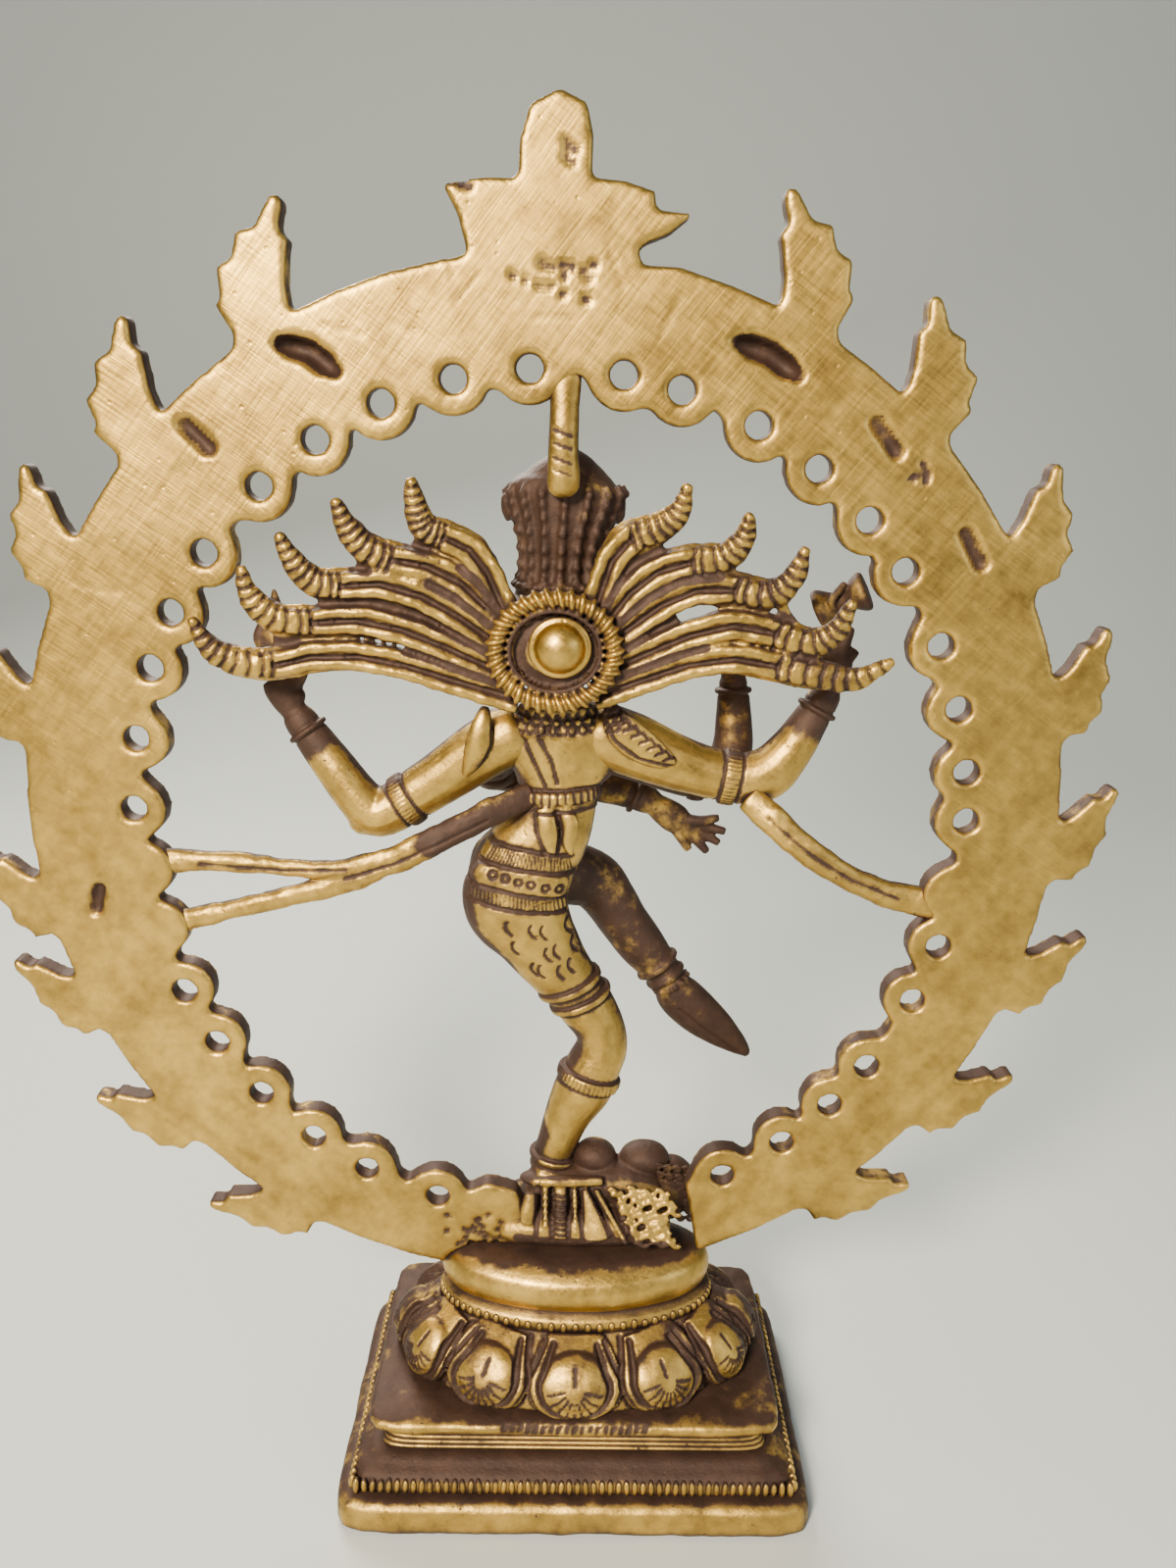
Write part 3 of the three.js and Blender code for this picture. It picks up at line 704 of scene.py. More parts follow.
# %% [markdown]
# ## Tie strut
#
# A short bar runs from the ring's crown down to the head-dress, on the back. It was added as a
# rod of wax and filed flat.

# %% Tie strut
bm = bmesh.new()
roll(bm, "tie_strut", 20, (0, 0.2, 8.7, 1.9, 0.8), (0, 0.5, 4.7, 1.7, 1.2), (0.1, 0.6, 0.7, 1.7, 1.3),
     (0.1, 0.4, -2.6, 1.95, 1.4), (0.1, 0, -4.2, 1.9, 1.3), (0.1, -0.3, -4.9, 1.2, 0.9))
strut = cast_wax(bm, smoothing=2, wobble=0.12)
file_mark = points("tie_strut", (-0.8, 0.8, -2.7), (1.2, 0.8, -2))
chisel(strut, [[p + Vector((0, 0, rise)) for p in file_mark] for rise in (0, 1.3, 2.9, 4.3)], 0.5, 0.15)
finish_piece("tie_strut_cast", strut, FILED_BACK_LIT, "tie_strut")

# %% [markdown]
# ## Stacked shapes
#
# The plinth, lotus and dais are stacks: an outline that steps in and out as it rises. `stack`
# extrudes an oval upwards through rows of (half width, half depth, height). For the square plinth
# the oval is squared up, so its corners stay a little round.

# %% Stacking
def stack(bm, middle, rows, sides=96, square=2.0):
    """A closed stack. square is 2 for an oval, and more for a shape near a rectangle."""
    def outline(row):
        across, deep, up = row
        ring = []
        for i in range(sides):
            c = math.cos(math.tau * i / sides)
            s = math.sin(math.tau * i / sides)
            reach = (abs(c) ** square + abs(s) ** square) ** (-1 / square)
            ring.append(Vector((middle.x + across * c * reach, middle.y + deep * s * reach, middle.z + up)))
        return ring

    made = bmesh.ops.create_circle(bm, segments=sides, radius=1)
    ring = made["verts"]
    edges = list({edge for vert in ring for edge in vert.link_edges})
    first = edges
    order = {vert: i for i, vert in enumerate(ring)}
    for vert, place in zip(ring, outline(rows[0])):
        vert.co = place
    for row in rows[1:]:
        out = bmesh.ops.extrude_edge_only(bm, edges=edges)["geom"]
        ring = [item for item in out if isinstance(item, bmesh.types.BMVert)]
        edges = [item for item in out if isinstance(item, bmesh.types.BMEdge)
                 and all(vert in ring for vert in item.verts)]
        place = outline(row)
        below = {
            vert: next(edge.other_vert(vert) for edge in vert.link_edges if edge.other_vert(vert) in order)
            for vert in ring}
        order = {vert: order[below[vert]] for vert in ring}
        for vert in ring:
            vert.co = place[order[vert]]
    bmesh.ops.holes_fill(bm, edges=first + edges, sides=0)


FLOOR = near("plinth_foot", 0, 0, -2.1)
LOTUS = near("lotus_base", 0, 0, -4.5)
print("the lotus starts", round(LOTUS.z - FLOOR.z, 1), "mm above the ground")

# %% [markdown]
# ## Plinth
#
# From the ground up: a foot slab with a wavy worn edge, a slope with a course of small ribs, a
# neck of thin layers, and a top slab whose edge was notched with a file. Each was a strip of wax.
# The foot could be a box with a Bevel, but its edge would be too straight. A stack that is cast
# with some wobble waves like the real one, and it is pressed flat where it stands.

# %% Plinth foot
bm = bmesh.new()
stack(bm, FLOOR,
      [(31.4, 20.1, 0.0), (31.9, 20.6, 0.5), (31.8, 20.5, 2.6), (31.5, 20.2, 3.7), (30.6, 19.3, 4.3)],
      square=16)
foot = cast_wax(bm, 0.45, smoothing=2, wobble=0.3, wobble_size=6)
for vert in foot.vertices:
    vert.co.z = max(vert.co.z, FLOOR.z)
finish_piece("plinth_foot_cast", foot, WORN, "plinth_foot")


def round_rectangle(half_width, half_depth, pitch):
    """Places evenly along the four sides, each with the turn of its side."""
    spots = []
    for side, (length, out) in enumerate(((half_width, half_depth), (half_depth, half_width)) * 2):
        turned = Matrix.Rotation(math.radians(90 * side), 4, "Z")
        count = round(2 * length / pitch)
        for i in range(count):
            along = -length + 2 * length * (i + 0.5) / count
            spots.append((turned @ Vector((along, -out, 0)), turned))
    return spots


# %% [markdown]
# The slope carries a course of little upright ribs, pressed on side by side, each a bit different.
# They are egg shapes set along the four sides. They could be an Array modifier, but then they
# would all be the same.

# %% Rib course
bm = bmesh.new()
stack(bm, FLOOR,
      [(29.3, 18, 4.4), (29.6, 18.3, 4.9), (29.6, 18.3, 6.5), (28.8, 17.5, 7.2), (27.7, 16.4, 7.7),
       (27.2, 15.9, 8.3)], square=16)
course_body = cast_wax(bm, 0.6)
bm = bmesh.new()
bm.from_mesh(course_body)
random.seed(4)
for spot, turned in round_rectangle(29.3, 18.1, 1.09):
    lean = Matrix.Rotation(random.uniform(-0.12, 0.12), 4, "Y")
    height = random.uniform(0.86, 1.08)
    bead(bm, FLOOR + spot + Vector((0, 0, 5.8)), 0.5, (0.95, 1.25, 2.5 * height), turned @ lean, 2)
course = mesh_of(bm)
for side in (1, -1):
    slope = [FLOOR + Vector((x, side * 16.9, 7.6)) for x in (-27, 27)]
    chisel(course, [slope], 4, 0, tool=(0, side * 0.6, 0.8), soot_and_shade=1.0)
finish_piece("rib_course", course, WORN, "plinth_bead_course")

# %% [markdown]
# The neck is six thin sheets of wax laid on one another. A single stack whose outline steps in and
# out gives the same lines, and it needs no casting.

# %% Layered neck
bm = bmesh.new()
rows = []
for layer in range(6):
    low = 8.5 + layer * 0.53
    wide = 26.1 - 0.28 * layer
    rows += [(wide - 0.3, wide - 11.6, low), (wide, wide - 11.3, low + 0.12),
             (wide, wide - 11.3, low + 0.38), (wide - 0.3, wide - 11.6, low + 0.5)]
stack(bm, FLOOR, rows, sides=180, square=18)
finish_piece("plinth_neck_cast", mesh_of(bm), WORN, "plinth_neck")

# %% [markdown]
# The top slab is a thick sheet with a rounded, wavy edge. In the middle of its long sides, short
# notches were cut across the edge, so they are chisel strokes here too.

# %% Top slab
bm = bmesh.new()
stack(bm, FLOOR,
      [(26.9, 15.6, 12.1), (27.5, 16.2, 12.4), (27.7, 16.4, 13.1), (27.2, 15.9, 13.7), (25.9, 14.6, 13.95)],
      square=16)
slab_mesh = cast_wax(bm, 0.4, smoothing=2, wobble=0.32, wobble_size=5)
for side in (1, -1):
    notches = [[FLOOR + Vector((x + lean, side * deep, 13.3)) for lean, deep in ((0, 15.6), (0.2, 16.6))]
               for x in np.arange(19) * 1.03 - 9.4]
    chisel(slab_mesh, notches, 0.6, 0.5, tool=(0, side * 0.8, 0.6))
finish_piece("plinth_top_slab_cast", slab_mesh, WORN, "plinth_top_slab")

# %% [markdown]
# ## Lotus seat
#
# Twelve petals hang from the bead band down to the slab, like tongues. Each has a domed middle,
# a groove round it and a raised lip, and a deeper groove parts it from the next. Small chisel
# ticks fan out over the dome. On the real thing the tongues are wax pressed on a bowl, and the
# grooves are cut, so they are made in the same order here.

# %% Lotus bowl and petals
BOWL = [(25.0, 0.1), (25.5, 0.7), (25.2, 1.8), (24.6, 3.4), (23.4, 5.2), (21.5, 7.0), (19.5, 8.4)]
PETALS = 12
bm = bmesh.new()
stack(bm, LOTUS, [(r - 0.9, r - 10.9, up) for r, up in BOWL])


def petal_point(number, aside, up, out):
    """A point on a petal: how far aside of its middle line, how high, and how far proud of the bowl."""
    angle = math.tau * number / PETALS + math.pi / 2
    radius = np.interp(up, [row[1] for row in BOWL], [row[0] for row in BOWL])
    across, deep = radius, radius - 10
    outward = Vector((math.cos(angle) / across, math.sin(angle) / deep, 0)).normalized()
    sideways = Vector((-outward.y, outward.x, 0))
    bend = outward * (
        -(aside ** 2) * deep * across / (2 * (across * abs(outward.y) + deep * abs(outward.x)) ** 3))
    on_bowl = LOTUS + Vector((across * math.cos(angle), deep * math.sin(angle), up))
    return on_bowl + sideways * aside + outward * out + bend


def petal_half_width(number):
    angle = math.tau * number / PETALS + math.pi / 2
    return math.hypot(24.5 * math.sin(angle), 14.5 * math.cos(angle)) * math.pi / PETALS


def petal_out(number):
    return (petal_point(number, 0, 3, 1) - petal_point(number, 0, 3, 0)) + Vector((0, 0, 0.35))


TONGUE = [(8.6, 0.6, 0.5), (7.0, 0.85, 0.9), (5.2, 0.98, 1.2), (3.4, 1.0, 1.4), (1.9, 0.88, 1.3),
          (0.9, 0.6, 1.0), (0.2, 0.3, 0.5)]
for number in range(PETALS):
    half = petal_half_width(number)
    route = [(petal_point(number, 0, up, -0.5), half * share, deep) for up, share, deep in TONGUE]
    outward = petal_out(number).normalized()
    roll_limb(bm, route, 18, aside=outward)
    slope = petal_point(number, 0, 7.4, 0) - petal_point(number, 0, 2.2, 0)
    bead(bm, petal_point(number, 0, 5.0, 0.2), 1, (half * 0.76, 1.5, 3.6), square_to(slope, outward), 3)
lotus = cast_wax(bm, 0.26, wobble_size=3)
for number in range(PETALS):
    half = petal_half_width(number)
    outward = petal_out(number)

    def tongue_line(share, low, top):
        """A U round the dome, from the band down and back up."""
        ups = np.linspace(top, low + half * share * 0.9, 5)
        left, right = [
            [petal_point(number, side * half * share * np.interp(up, (low, 5, top), widths), up, 1)
             for up in ups] for side, widths in ((-1, (0.95, 1, 0.62)), (1, (1, 0.98, 0.6)))]
        curve = [petal_point(
                     number, -half * share * math.cos(a), low + half * share * 0.9 * (1 - math.sin(a)), 1)
                 for a in np.linspace(0.2, math.pi - 0.2, 9)]
        return left + curve + right[::-1]

    chisel(lotus, [tongue_line(0.76, 0.7, 8.2)], 0.9, 0.75, tool=outward, reach=3)
    chisel(lotus, [tongue_line(1.02, -0.6, 8.4)], 0.8, 0.5, tool=outward, reach=3)
    ticks = [[petal_point(number, 0, 5.2, 1), petal_point(number, 0, 6.8, 1)]]
    for a in np.linspace(-1.35, 1.35, 9):
        for near_end, far_end in ((0.22, 0.36), (0.42, 0.58)):
            ticks.append(
                [petal_point(number, half * reach * math.sin(a), 4.9 - half * reach * math.cos(a) * 1.15, 1)
                 for reach in (near_end, far_end)])
    chisel(lotus, ticks, 0.34, 0.26, tool=outward, reach=3, soot_and_shade=0.7)
finish_piece("lotus_petals", lotus, CHASED, "lotus_base")

# %% [markdown]
# A band of small upright beads closes the lotus at its top. They are pressed on by hand, so each
# has its own height, and they follow the oval.

# %% Bead band on the lotus
bm = bmesh.new()
stack(bm, LOTUS, [(18.9, 8.9, 8.5), (19.0, 9.0, 9.3), (18.8, 8.8, 10.5)])
random.seed(9)
BAND_ACROSS, BAND_DEEP, BAND_BEADS = 18.95, 8.95, 72
for i in range(BAND_BEADS):
    c, s = math.cos(math.tau * i / BAND_BEADS), math.sin(math.tau * i / BAND_BEADS)
    spot = LOTUS + Vector((BAND_ACROSS * c, BAND_DEEP * s, 9.4 + random.uniform(-0.08, 0.08)))
    turned = Matrix.Rotation(math.atan2(s / BAND_DEEP, c / BAND_ACROSS), 4, "Z")
    bead(bm, spot, 0.5, (0.75, 0.95, 1.5 * random.uniform(0.85, 1.1)), turned)
finish_piece("lotus_bead_band_cast", mesh_of(bm), CHASED, "lotus_bead_band")

# %% [markdown]
# ## Dais
#
# A plump cushion of brass, polished because hands hold it there. Its top is a ledge that no cloth
# reaches, so it is brown. A wide stroke without depth darkens it.

# %% Dais
bm = bmesh.new()
stack(bm, LOTUS,
      [(16.6, 6.9, 10.75), (18.2, 8.3, 11.4), (18.85, 8.85, 12.7), (18.9, 8.9, 14.2), (18.4, 8.4, 15.6),
       (17.2, 7.3, 16.5), (15.6, 6.0, 17.1), (13.0, 4.4, 17.3)])
dais = cast_wax(bm, 0.4, smoothing=3, wobble=0.25, wobble_size=8)
ledge = [LOTUS + Vector((13.4 * math.cos(a), 4.2 * math.sin(a), 17)) for a in np.linspace(0, math.tau, 40)]
chisel(dais, [ledge], 8.4, 0.02, tool=(0, 0, 1), soot_and_shade=1.0)
finish_piece("dais_cushion", dais, POLISHED, "dais")

# %% [markdown]
# ## Trunk
#
# Hips, waist, chest and neck are one roll of wax. The hips lean over the standing leg. Ornament is
# pressed on: a collar of scallops, a leaf of cloth behind each shoulder, a ribbed belt, and two
# strips of cloth that hang from it. The bands round the hips, with their row of small rings, are
# chased, and they run over the top of the leg as well.

# %% Trunk
bm = bmesh.new()
trunk_route = stations(
    "pelvis", (2.4, 0, -7.4, 5.2, 3.9), (2, 0, -4.8, 6.7, 4.8), (0.8, 0, -1.8, 6.7, 5.0),
    (-1, 0, 1.2, 6.0, 4.7), (-2.6, 0.1, 4, 5.4, 4.3), (-3.4, 0.2, 7, 5.0, 3.8), (-3.5, 0.2, 9.8, 5.3, 3.8),
    (-3.8, 0.2, 12.8, 7.5, 4.1), (-3.6, 0.2, 15.8, 8.8, 4.2), (-3.1, 0.2, 18.4, 7.4, 3.9),
    (-2.9, 0.2, 20.2, 4.2, 3.2), (-2.9, 0.2, 21.6, 2.8, 2.7), (-2.9, 0.1, 23.2, 2.6, 2.5))
roll_limb(bm, trunk_route, 26)
for shoulder in points("torso", (5.8, 0.2, 3.2), (-6, 0.2, 3.2)):
    bead(bm, shoulder, 3.5, (1.1, 1.05, 1.0))
for breast in points("torso", (2.8, -3.3, 2.4), (-2.6, -3.3, 2.4)):
    bead(bm, breast, 2.1, (1.2, 0.6, 1.0))
bead(bm, near("pelvis", -0.6, 2.6, -2.6), 3.6, (1.3, 0.7, 1.1))
bead(bm, near("pelvis", 4.6, 2.3, -3), 3.4, (1.0, 0.7, 1.1))
HIPS = near("pelvis", -1.8, 0.2, 0)


def trunk_at(up):
    """The middle and the half sizes of the trunk at a height above the hips."""
    route = smooth_route(trunk_route)
    return min(route, key=lambda row: abs(row[0].z - HIPS.z - up))


BELT_UP, BELT_WAY = 8.6, Vector((0.05, 0, 1))
for up, width, proud in ((BELT_UP, 1.8, 0.75), (7.2, 0.5, 0.4)):
    point, across, deep = trunk_at(up)
    band(bm, point, BELT_WAY, across, deep, width, proud)
roll(bm, "torso", 14, (8.6, 3.4, 7.4, 0.5, 0.6), (9, 4.2, 5.2, 1.3, 0.9), (9.4, 4.3, 2.8, 1.7, 1.0),
     (10.2, 4, 0.6, 1.3, 0.9), (11.2, 3.4, -1.4, 0.5, 0.6))
roll(bm, "torso", 14, (-6.6, 3.1, 8, 0.7, 0.7), (-7.8, 4.2, 5.6, 2.0, 0.9), (-10, 4.3, 3.4, 2.3, 0.9),
     (-12.8, 4.1, 1.6, 1.7, 0.8), (-15, 3.7, 0.8, 0.6, 0.5))
roll(bm, "pelvis", 12, (-1.6, 4.3, 7.6, 1.2, 0.5), (-2.2, 4.7, 5.6, 1.35, 0.7), (-2.5, 4.8, 3.4, 1.2, 0.6),
     (-2.9, 4.7, 1.6, 0.4, 0.4))
roll(bm, "pelvis", 12, (-4.2, 3.9, 7.4, 0.9, 0.5), (-5.2, 4.2, 5.4, 1.1, 0.6), (-4.9, 4.4, 3.2, 0.8, 0.5),
     (-5.3, 4.3, 1.4, 0.3, 0.3))
# The collar: three rows of scallops behind, and two rows of beads in front.
for row in range(3):
    for lean in np.radians(np.linspace(-62, 62, 9)):
        spot = Vector((math.sin(lean) * (4.5 + row), 3.6 * math.cos(lean), -row * 1.35))
        bead(bm, near("torso", 0, 0.6, 7) + spot, 0.8, (0.95, 0.8, 1.0))
for row in range(2):
    for lean in np.radians(np.linspace(-70, 70, 11)):
        spot = Vector(
            (math.sin(lean) * (5 + row), -3.5 * math.cos(lean) - 0.2, -row * 1.7 - math.cos(lean)))
        bead(bm, near("torso", 0, -0.4, 6.2) + spot, 0.62)
trunk = cast_wax(bm)
spine_cuts = [points("torso", (3.8, 4, 3.2), (2.5, 4, 0.2), (1.2, 4, -2.7)),
              points("torso", (2.1, 4, 3.8), (0.4, 4, 0.7), (-0.3, 4, -2.2))]
strip_cuts = [points("pelvis", (-0.6, 4.2, 7), (-0.9, 4.2, 4.4), (-1.9, 4.2, 1.6)),
              points("pelvis", (-3.4, 4.2, 7), (-3.9, 4.2, 4.4), (-3.6, 4.2, 1.8))]
chisel(trunk, spine_cuts + strip_cuts, 0.6, 0.4)
for up in (9.7, 6.8):
    groove_round(trunk, trunk_at(up)[0], BELT_WAY, 9, 0.5, 0.3)
belt_ribs = ribs_across(trunk_at(BELT_UP)[0], BELT_WAY, 5.8, 1.5, 17)
chisel(trunk, belt_ribs, 0.34, 0.25)
chisel(trunk, belt_ribs, 0.34, 0.25, tool=FRONT)


def chase_hips(mesh):
    """The chased bands of the hip cloth. They run over the trunk and the top of the leg."""
    lines = [points("pelvis", (4.8, 4.2, 2.5), (0.2, 4.2, 1.9), (-5.4, 4.2, 0.9)),
             points("pelvis", (6.4, 4.2, 0.1), (0.2, 4.2, -0.8), (-6, 4.2, -1.7)),
             points("pelvis", (7.8, 4.2, -2.8), (0.8, 4.2, -4.2), (-6.2, 4.2, -5.4)),
             points("pelvis", (8.2, 4.2, -5.3), (1.2, 4.2, -6.4), (-6.8, 4.2, -7.6))]
    chisel(mesh, lines, 0.75, 0.45, soot_and_shade=0.95)
    ribs = []
    for high, low in ((lines[0], lines[1]), (lines[2], lines[3])):
        for share in np.linspace(0.04, 0.96, 26):
            top, foot = [row[0].lerp(row[2], share) for row in (high, low)]
            ribs.append([top.lerp(foot, 0.2), top.lerp(foot, 0.8)])
    chisel(mesh, ribs, 0.3, 0.2, soot_and_shade=0.5)
    middles = points("pelvis", (4.7, 4.2, -1.5), (3.1, 4.2, -1.9), (1.4, 4.2, -2.3), (-0.2, 4.2, -2.6),
                     (-2.1, 4.2, -3.1), (-3.9, 4.2, -3.4))
    chisel(mesh, [oval(middle, 0.5, 0.5, 9) for middle in middles], 0.4, 0.4)


chase_hips(trunk)
collar = []
for row in range(3):
    for i in range(12):
        sag = 0.95 * row + 0.9 * math.sin(math.pi * (i + 0.5) / 12)
        middle = near("torso", 6.8, 4, 7.6) - Vector(((i + 0.5 * (row % 2)) * 1.28, 0, sag))
        collar.append(oval(middle, 0.62, -0.75, 7, end=math.pi))
chisel(trunk, collar, 0.42, 0.35)
shadow = [points("pelvis", (7.8, 4.2, 7), (8.8, 4.2, 1), (9.6, 4.2, -3)),
          points("torso", (9.2, 4, 9), (0, 4, 9.4), (-9.8, 4, 9)),
          points("torso", (7.8, 4, -1), (5.4, 4, -3.4)), points("torso", (-9.2, 4, -1), (-7.2, 4, -3.4))]
chisel(trunk, shadow, 6, 0, soot_and_shade=0.7)
hatch = [points("torso", (-6.4 - i, 4, 6.6 - i * 0.78), (-7.9 - i, 4, 7.1 - i * 0.78),
                (-8.5 - i, 4, 6.2 - i * 0.78)) for i in range(8)]
chisel(trunk, hatch, 0.42, 0.35)
leaf_edges = [points("torso", (-5.9, 4, 6.4), (-7.4, 4, 3.6), (-10.4, 4, 1.4), (-15, 4, 0.2)),
              points("torso", (10.8, 4, 6.8), (11.2, 4, 3), (12.2, 4, -0.8)),
              points("torso", (7.6, 4, 7), (7.6, 4, 2.8), (9.8, 4, -1.6))]
chisel(trunk, leaf_edges, 0.5, 0.35)
finish_piece("trunk", trunk, CHASED, "torso", "pelvis", "neck")

# %% [markdown]
# ## Standing leg
#
# One roll of wax again, thick at the thigh, with a knee, a calf and an ankle. The thigh carries
# rows of small U marks for the folds of the cloth. Two bands ring the knee and one the calf, and
# there is an anklet over the foot, which stands on the dwarf's back.

# %% Standing leg
bm = bmesh.new()
leg_route = stations(
    "standing_thigh", (4.3, 0.2, 10.8, 6.6, 4.7), (4.4, 0.2, 8.2, 7.1, 5.0), (3.4, 0.2, 5.6, 6.7, 4.8),
    (1.9, 0, 3, 5.6, 4.5), (-0.5, -0.4, -1, 4.7, 4.2), (-2.9, -0.9, -4.6, 4.1, 3.9),
    (-5.3, -1.2, -8.2, 3.9, 3.8), (-7.1, -1.1, -11.4, 3.5, 3.5), (-7.5, -0.7, -14.2, 3.6, 3.6),
    (-6.3, -0.4, -17.4, 3.9, 3.9), (-4.9, -0.1, -20.6, 4.0, 3.7), (-2.8, 0.1, -25, 3.2, 3.1),
    (-1.5, 0.3, -29.2, 2.9, 2.8), (-0.7, 0.4, -32.8, 3.2, 3.0))
roll_limb(bm, leg_route, 24)
bead(bm, near("standing_calf", -0.3, -3.4, 2.1), 2.3, (1.2, 0.8, 1.3))
roll_rounded(bm, "standing_foot", 18, (-0.8, 4.4, 0.6, 2.6, 1.9), (-1.2, 2.4, 0.6, 2.2, 2.2),
             (-1.6, -0.4, 0, 2.2, 1.5), (-1.8, -2.8, -0.5, 2.3, 1.0))
for i in range(5):
    bead(bm, near("standing_foot", -3.5, -4, -0.5) + Vector((0.85 * i, abs(i - 3) * 0.3, 0)), 0.5,
         (0.9, 1.5, 0.9))
bead(bm, near("standing_foot", -0.2, 5, 0.1), 1.0, (3.5, 1.9, 0.9), fine=3)


def leg_at(route, share):
    """The middle, half sizes and direction of a limb, some share of the way along it."""
    rows = smooth_route(route)
    spot = min(max(round(share * (len(rows) - 1)), 1), len(rows) - 2)
    return rows[spot], rows[spot - 1][0] - rows[spot + 1][0]


# The bands: share of the way down, width, how proud, and how far they lean to stand level.
leg_bands = ((0.39, 1.2, 0.55, 0.5), (0.425, 1.2, 0.55, 0.5), (0.72, 2.0, 0.6, 0.4), (0.955, 1.1, 0.6, 0.2))
for share, width, proud, level in leg_bands:
    (point, across, deep), along = leg_at(leg_route, share)
    band(bm, point, along.normalized() + Vector((0, 0, level)), across, deep, width, proud)
leg = cast_wax(bm)
for share, width, proud, level in leg_bands:
    (point, across, deep), along = leg_at(leg_route, share)
    way = (along.normalized() + Vector((0, 0, level))).normalized()
    for side in (-1, 1):
        groove_round(leg, point + way * side * (width / 2 + 0.12), way, across + 3, 0.5, 0.2)
(point, across, deep), along = leg_at(leg_route, 0.72)
chisel(leg, ribs_across(point, along + Vector((0, 0, 0.4)), across + 0.5, 1.5, 21), 0.3, 0.15, soot_and_shade=0.35)
chase_hips(leg)
marks = []
for middle in points(
    "standing_thigh", (1.8, 4.5, 5.1), (0.3, 4.5, 4.8), (-2.9, 4.5, 5), (-4.4, 4.5, 3.6), (-0.2, 4.5, 1.6),
    (-1.4, 4.5, 1.9), (-3.7, 4.5, 2.4), (4.1, 4.5, 2.6), (1.6, 4.5, -0.7), (0.7, 4.5, -1),
    (-1.9, 4.5, -1.2), (-5.1, 4.5, 1), (4.9, 4.5, 5.6), (-3.3, 4.5, -0.4)):
    marks.append(
        [middle + Vector((0.5 * (1 - t * t) - 0.3 * t, 0, -1.0 * t)) for t in np.linspace(-1, 1, 7)])
chisel(leg, marks, 0.42, 0.35)
# Painted shade: the sides of the thigh, calf and shin that turn away from the lamp are darkened in the
# colour.
painted_side_shade = [points("standing_thigh", (12.1, 4.5, 11.4), (10.5, 4.5, 4.4), (5.9, 4.5, -1.6)),
             points("standing_calf", (2, 5.2, 0.1), (3.3, 5.2, -3.3)),
             points("standing_shin", (5, 4.5, -1.2), (7.4, 4.5, -6.2))]
chisel(leg, painted_side_shade, 4.5, 0, soot_and_shade=0.7)
finish_piece(
    "standing_leg", leg, CHASED, "standing_thigh", "standing_calf", "standing_shin", "standing_foot")

# %% [markdown]
# ## Raised leg
#
# The left leg swings across the front of the body, so from behind it comes out at the side. It is
# hard to reach with a file, and it stays dark. The foot is long and pointed, like a shoe.

# %% Raised leg
bm = bmesh.new()
raised_route = stations(
    "raised_thigh", (7.1, 3.5, 2.1, 5.0, 4.6), (2.3, 1.5, 0.8, 4.9, 4.5), (-2.3, -0.5, -0.8, 4.6, 4.2),
    (-6.1, -2, -2.5, 4.2, 3.8), (-8.6, -2.4, -5.5, 3.8, 3.5), (-10.9, -2.3, -9.1, 3.5, 3.3),
    (-13.6, -2.2, -12.7, 3.3, 3.1), (-16.1, -2.1, -15.9, 2.7, 2.6), (-17.6, -2, -18.2, 2.3, 2.3))
roll_limb(bm, round_ends(raised_route), 22)
roll(bm, "raised_foot", 18, (6.2, -0.1, 6.9, 2.0, 2.1), (4.4, 0, 4.2, 3.2, 2.5), (1.4, -0.2, 1.2, 3.3, 2.3),
     (-1.8, -0.3, -1.6, 2.7, 1.7), (-4.8, -0.4, -4.1, 1.6, 1.2), (-6.5, -0.4, -5.7, 0.6, 0.7))
for share in (0.86, 0.93):
    (point, across, deep), along = leg_at(raised_route, share)
    band(bm, point, along, across, deep, 0.9, 0.6)
beads_round(bm, near("raised_foot", 5.4, 0, 6), Vector((-1.3, 0, -2.5)), 2.7, 2.6, 14, 0.5)
raised = cast_wax(bm, wobble=0.12)
chisel(raised, [points("raised_foot", (4.2, 2, 2.6), (0, 2, -1.2), (-4.6, 2, -5))], 0.6, 0.35)
cloth_marks = []
for share in (0.1, 0.17, 0.24, 0.31, 0.38, 0.45):
    (point, across, deep), along = leg_at(raised_route, share)
    for aside in (-2.4, -0.8, 0.8, 2.4):
        middle = point + Vector((0, 0, aside + 0.4 * math.sin(share * 90)))
        cloth_marks.append(oval(middle, 0.8, 0.7, 6, 1.9, 4.4))
chisel(raised, cloth_marks, 0.42, 0.3, tool=FRONT, soot_and_shade=0.6)
finish_piece("raised_leg", raised, PATINA, "raised_thigh", "raised_calf", "raised_foot")

# %% [markdown]
# ## Arms and hands
#
# Four arms leave the two shoulders. Each is one roll from shoulder to wrist, with a ribbed armlet,
# a bangle at the wrist and a small hand with five fingers. The rear arms are gold down to the wrist,
# and their hands are dark. The four are built the same way, so one table holds their numbers.

# %% Arms
FINGER = 0.85       # mm, half the thickness of a finger
ELBOW = 2.3


